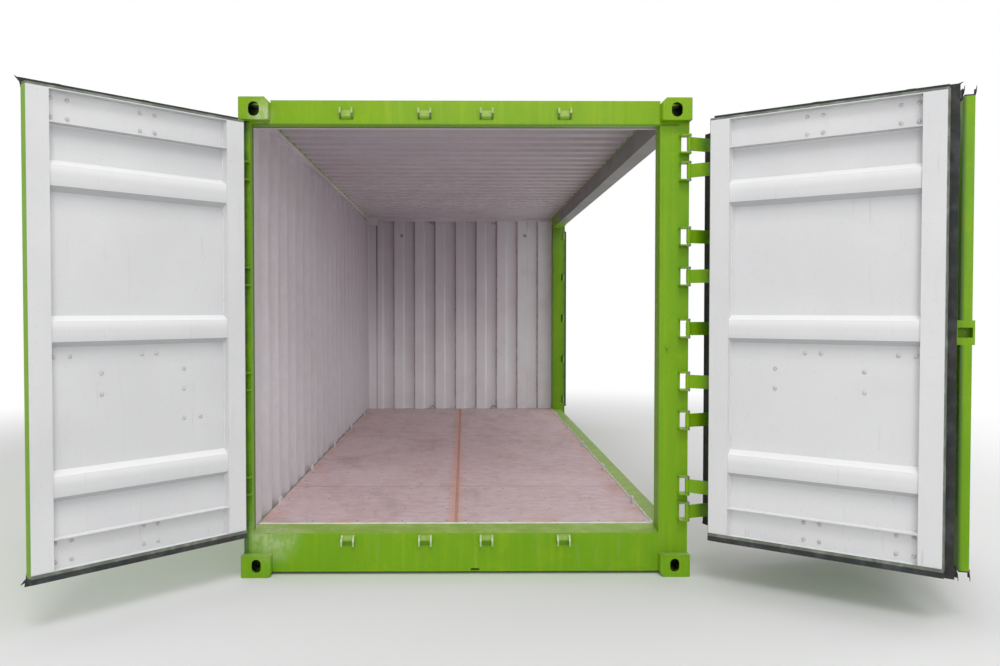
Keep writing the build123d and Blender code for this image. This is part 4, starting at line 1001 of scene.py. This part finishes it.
# Stage, light and camera
def stage_floor():
    """A pale floor that fades to plain white away from the object."""
    mesh = bpy.data.meshes.new("stage_floor")
    reach = 60.0
    corners = [(-reach, -reach, 0), (reach, -reach, 0), (reach, reach, 0), (-reach, reach, 0)]
    mesh.from_pydata(corners, [], [(0, 1, 2, 3)])
    floor = bpy.data.objects.new("stage_floor", mesh)
    bpy.context.scene.collection.objects.link(floor)
    coat = Coat("stage_white")
    plain = coat.node("ShaderNodeBsdfDiffuse", {}, {"Color": (0.86, 0.86, 0.86)})
    white = coat.node("ShaderNodeEmission", {}, {"Color": (1.0, 1.0, 1.0), "Strength": 1.0})
    ray = coat.node("ShaderNodeLightPath", {}, {}, "Is Camera Ray")
    near = coat.node("ShaderNodeVectorMath", {"operation": "LENGTH"}, {0: coat.place}, "Value")
    far = coat.ramp(near, 4.0, 9.0)
    mesh.materials.append(coat.output(coat.node("ShaderNodeMixShader", {}, {0: ray * far, 1: plain, 2: white})))


def world_light(strength):
    """White to the camera and to glossy and clear rays, and a plain light of the given strength elsewhere."""
    world = bpy.data.worlds.new("studio")
    bpy.context.scene.world = world
    world.use_nodes = True
    tree = world.node_tree
    tree.nodes.clear()
    path = tree.nodes.new("ShaderNodeLightPath")
    seen = path.outputs["Is Camera Ray"]
    for kind in ("Is Glossy Ray", "Is Transmission Ray"):
        either = tree.nodes.new("ShaderNodeMath")
        either.operation = "MAXIMUM"
        tree.links.new(seen, either.inputs[0])
        tree.links.new(path.outputs[kind], either.inputs[1])
        seen = either.outputs[0]
    both = tree.nodes.new("ShaderNodeMixShader")
    tree.links.new(seen, both.inputs[0])
    for socket, power in ((1, strength), (2, 1.0)):
        light = tree.nodes.new("ShaderNodeBackground")
        light.inputs["Color"].default_value = (1.0, 1.0, 1.0, 1.0)
        light.inputs["Strength"].default_value = power
        tree.links.new(light.outputs[0], both.inputs[socket])
    out = tree.nodes.new("ShaderNodeOutputWorld")
    tree.links.new(both.outputs[0], out.inputs["Surface"])


def area_light(name, place, target, size, power):
    """A square lamp that stands at a place and looks at a target."""
    lamp = bpy.data.lights.new(name, "AREA")
    lamp.shape = "SQUARE"
    lamp.size = size
    lamp.energy = power
    piece = bpy.data.objects.new(name, lamp)
    bpy.context.scene.collection.objects.link(piece)
    back = np.array(place) - np.array(target)
    yaw = math.atan2(back[1], back[0]) + math.pi / 2
    tilt = math.atan2(math.hypot(back[0], back[1]), back[2])
    piece.location = place
    piece.rotation_euler = (tilt, 0.0, yaw)


def camera():
    """Stands before the end doors at eye height, turned a little to the right and down."""
    lens = bpy.data.cameras.new("camera")
    lens.sensor_width = 36.0
    lens.lens = 31.705
    lens.shift_x = 0.0277
    lens.shift_y = -0.0017
    eye = bpy.data.objects.new("camera", lens)
    bpy.context.scene.collection.objects.link(eye)
    eye.location = (-7.771, 0.009, 1.452)
    eye.rotation_euler = (math.radians(90.0 - 1.401), 0.0, math.radians(-90.527))
    bpy.context.scene.camera = eye


stage_floor()
world_light(0.63)
area_light("high_light", (-11.0, -0.5, 10.0), (-3.5, 0.0, 1.3), 4.0, 370.0)
area_light("front_light", (-17.0, -0.8, 4.6), (-2.0, 0.0, 1.2), 5.0, 270.0)
area_light("side_light", (1.2, -9.0, 4.2), (0.8, 0.0, 0.8), 6.0, 190.0)
area_light("top_light", (-1.0, 0.0, 9.0), (-1.0, 0.0, 0.0), 6.0, 60.0)
camera()
bpy.context.scene.view_settings.view_transform = "Standard"
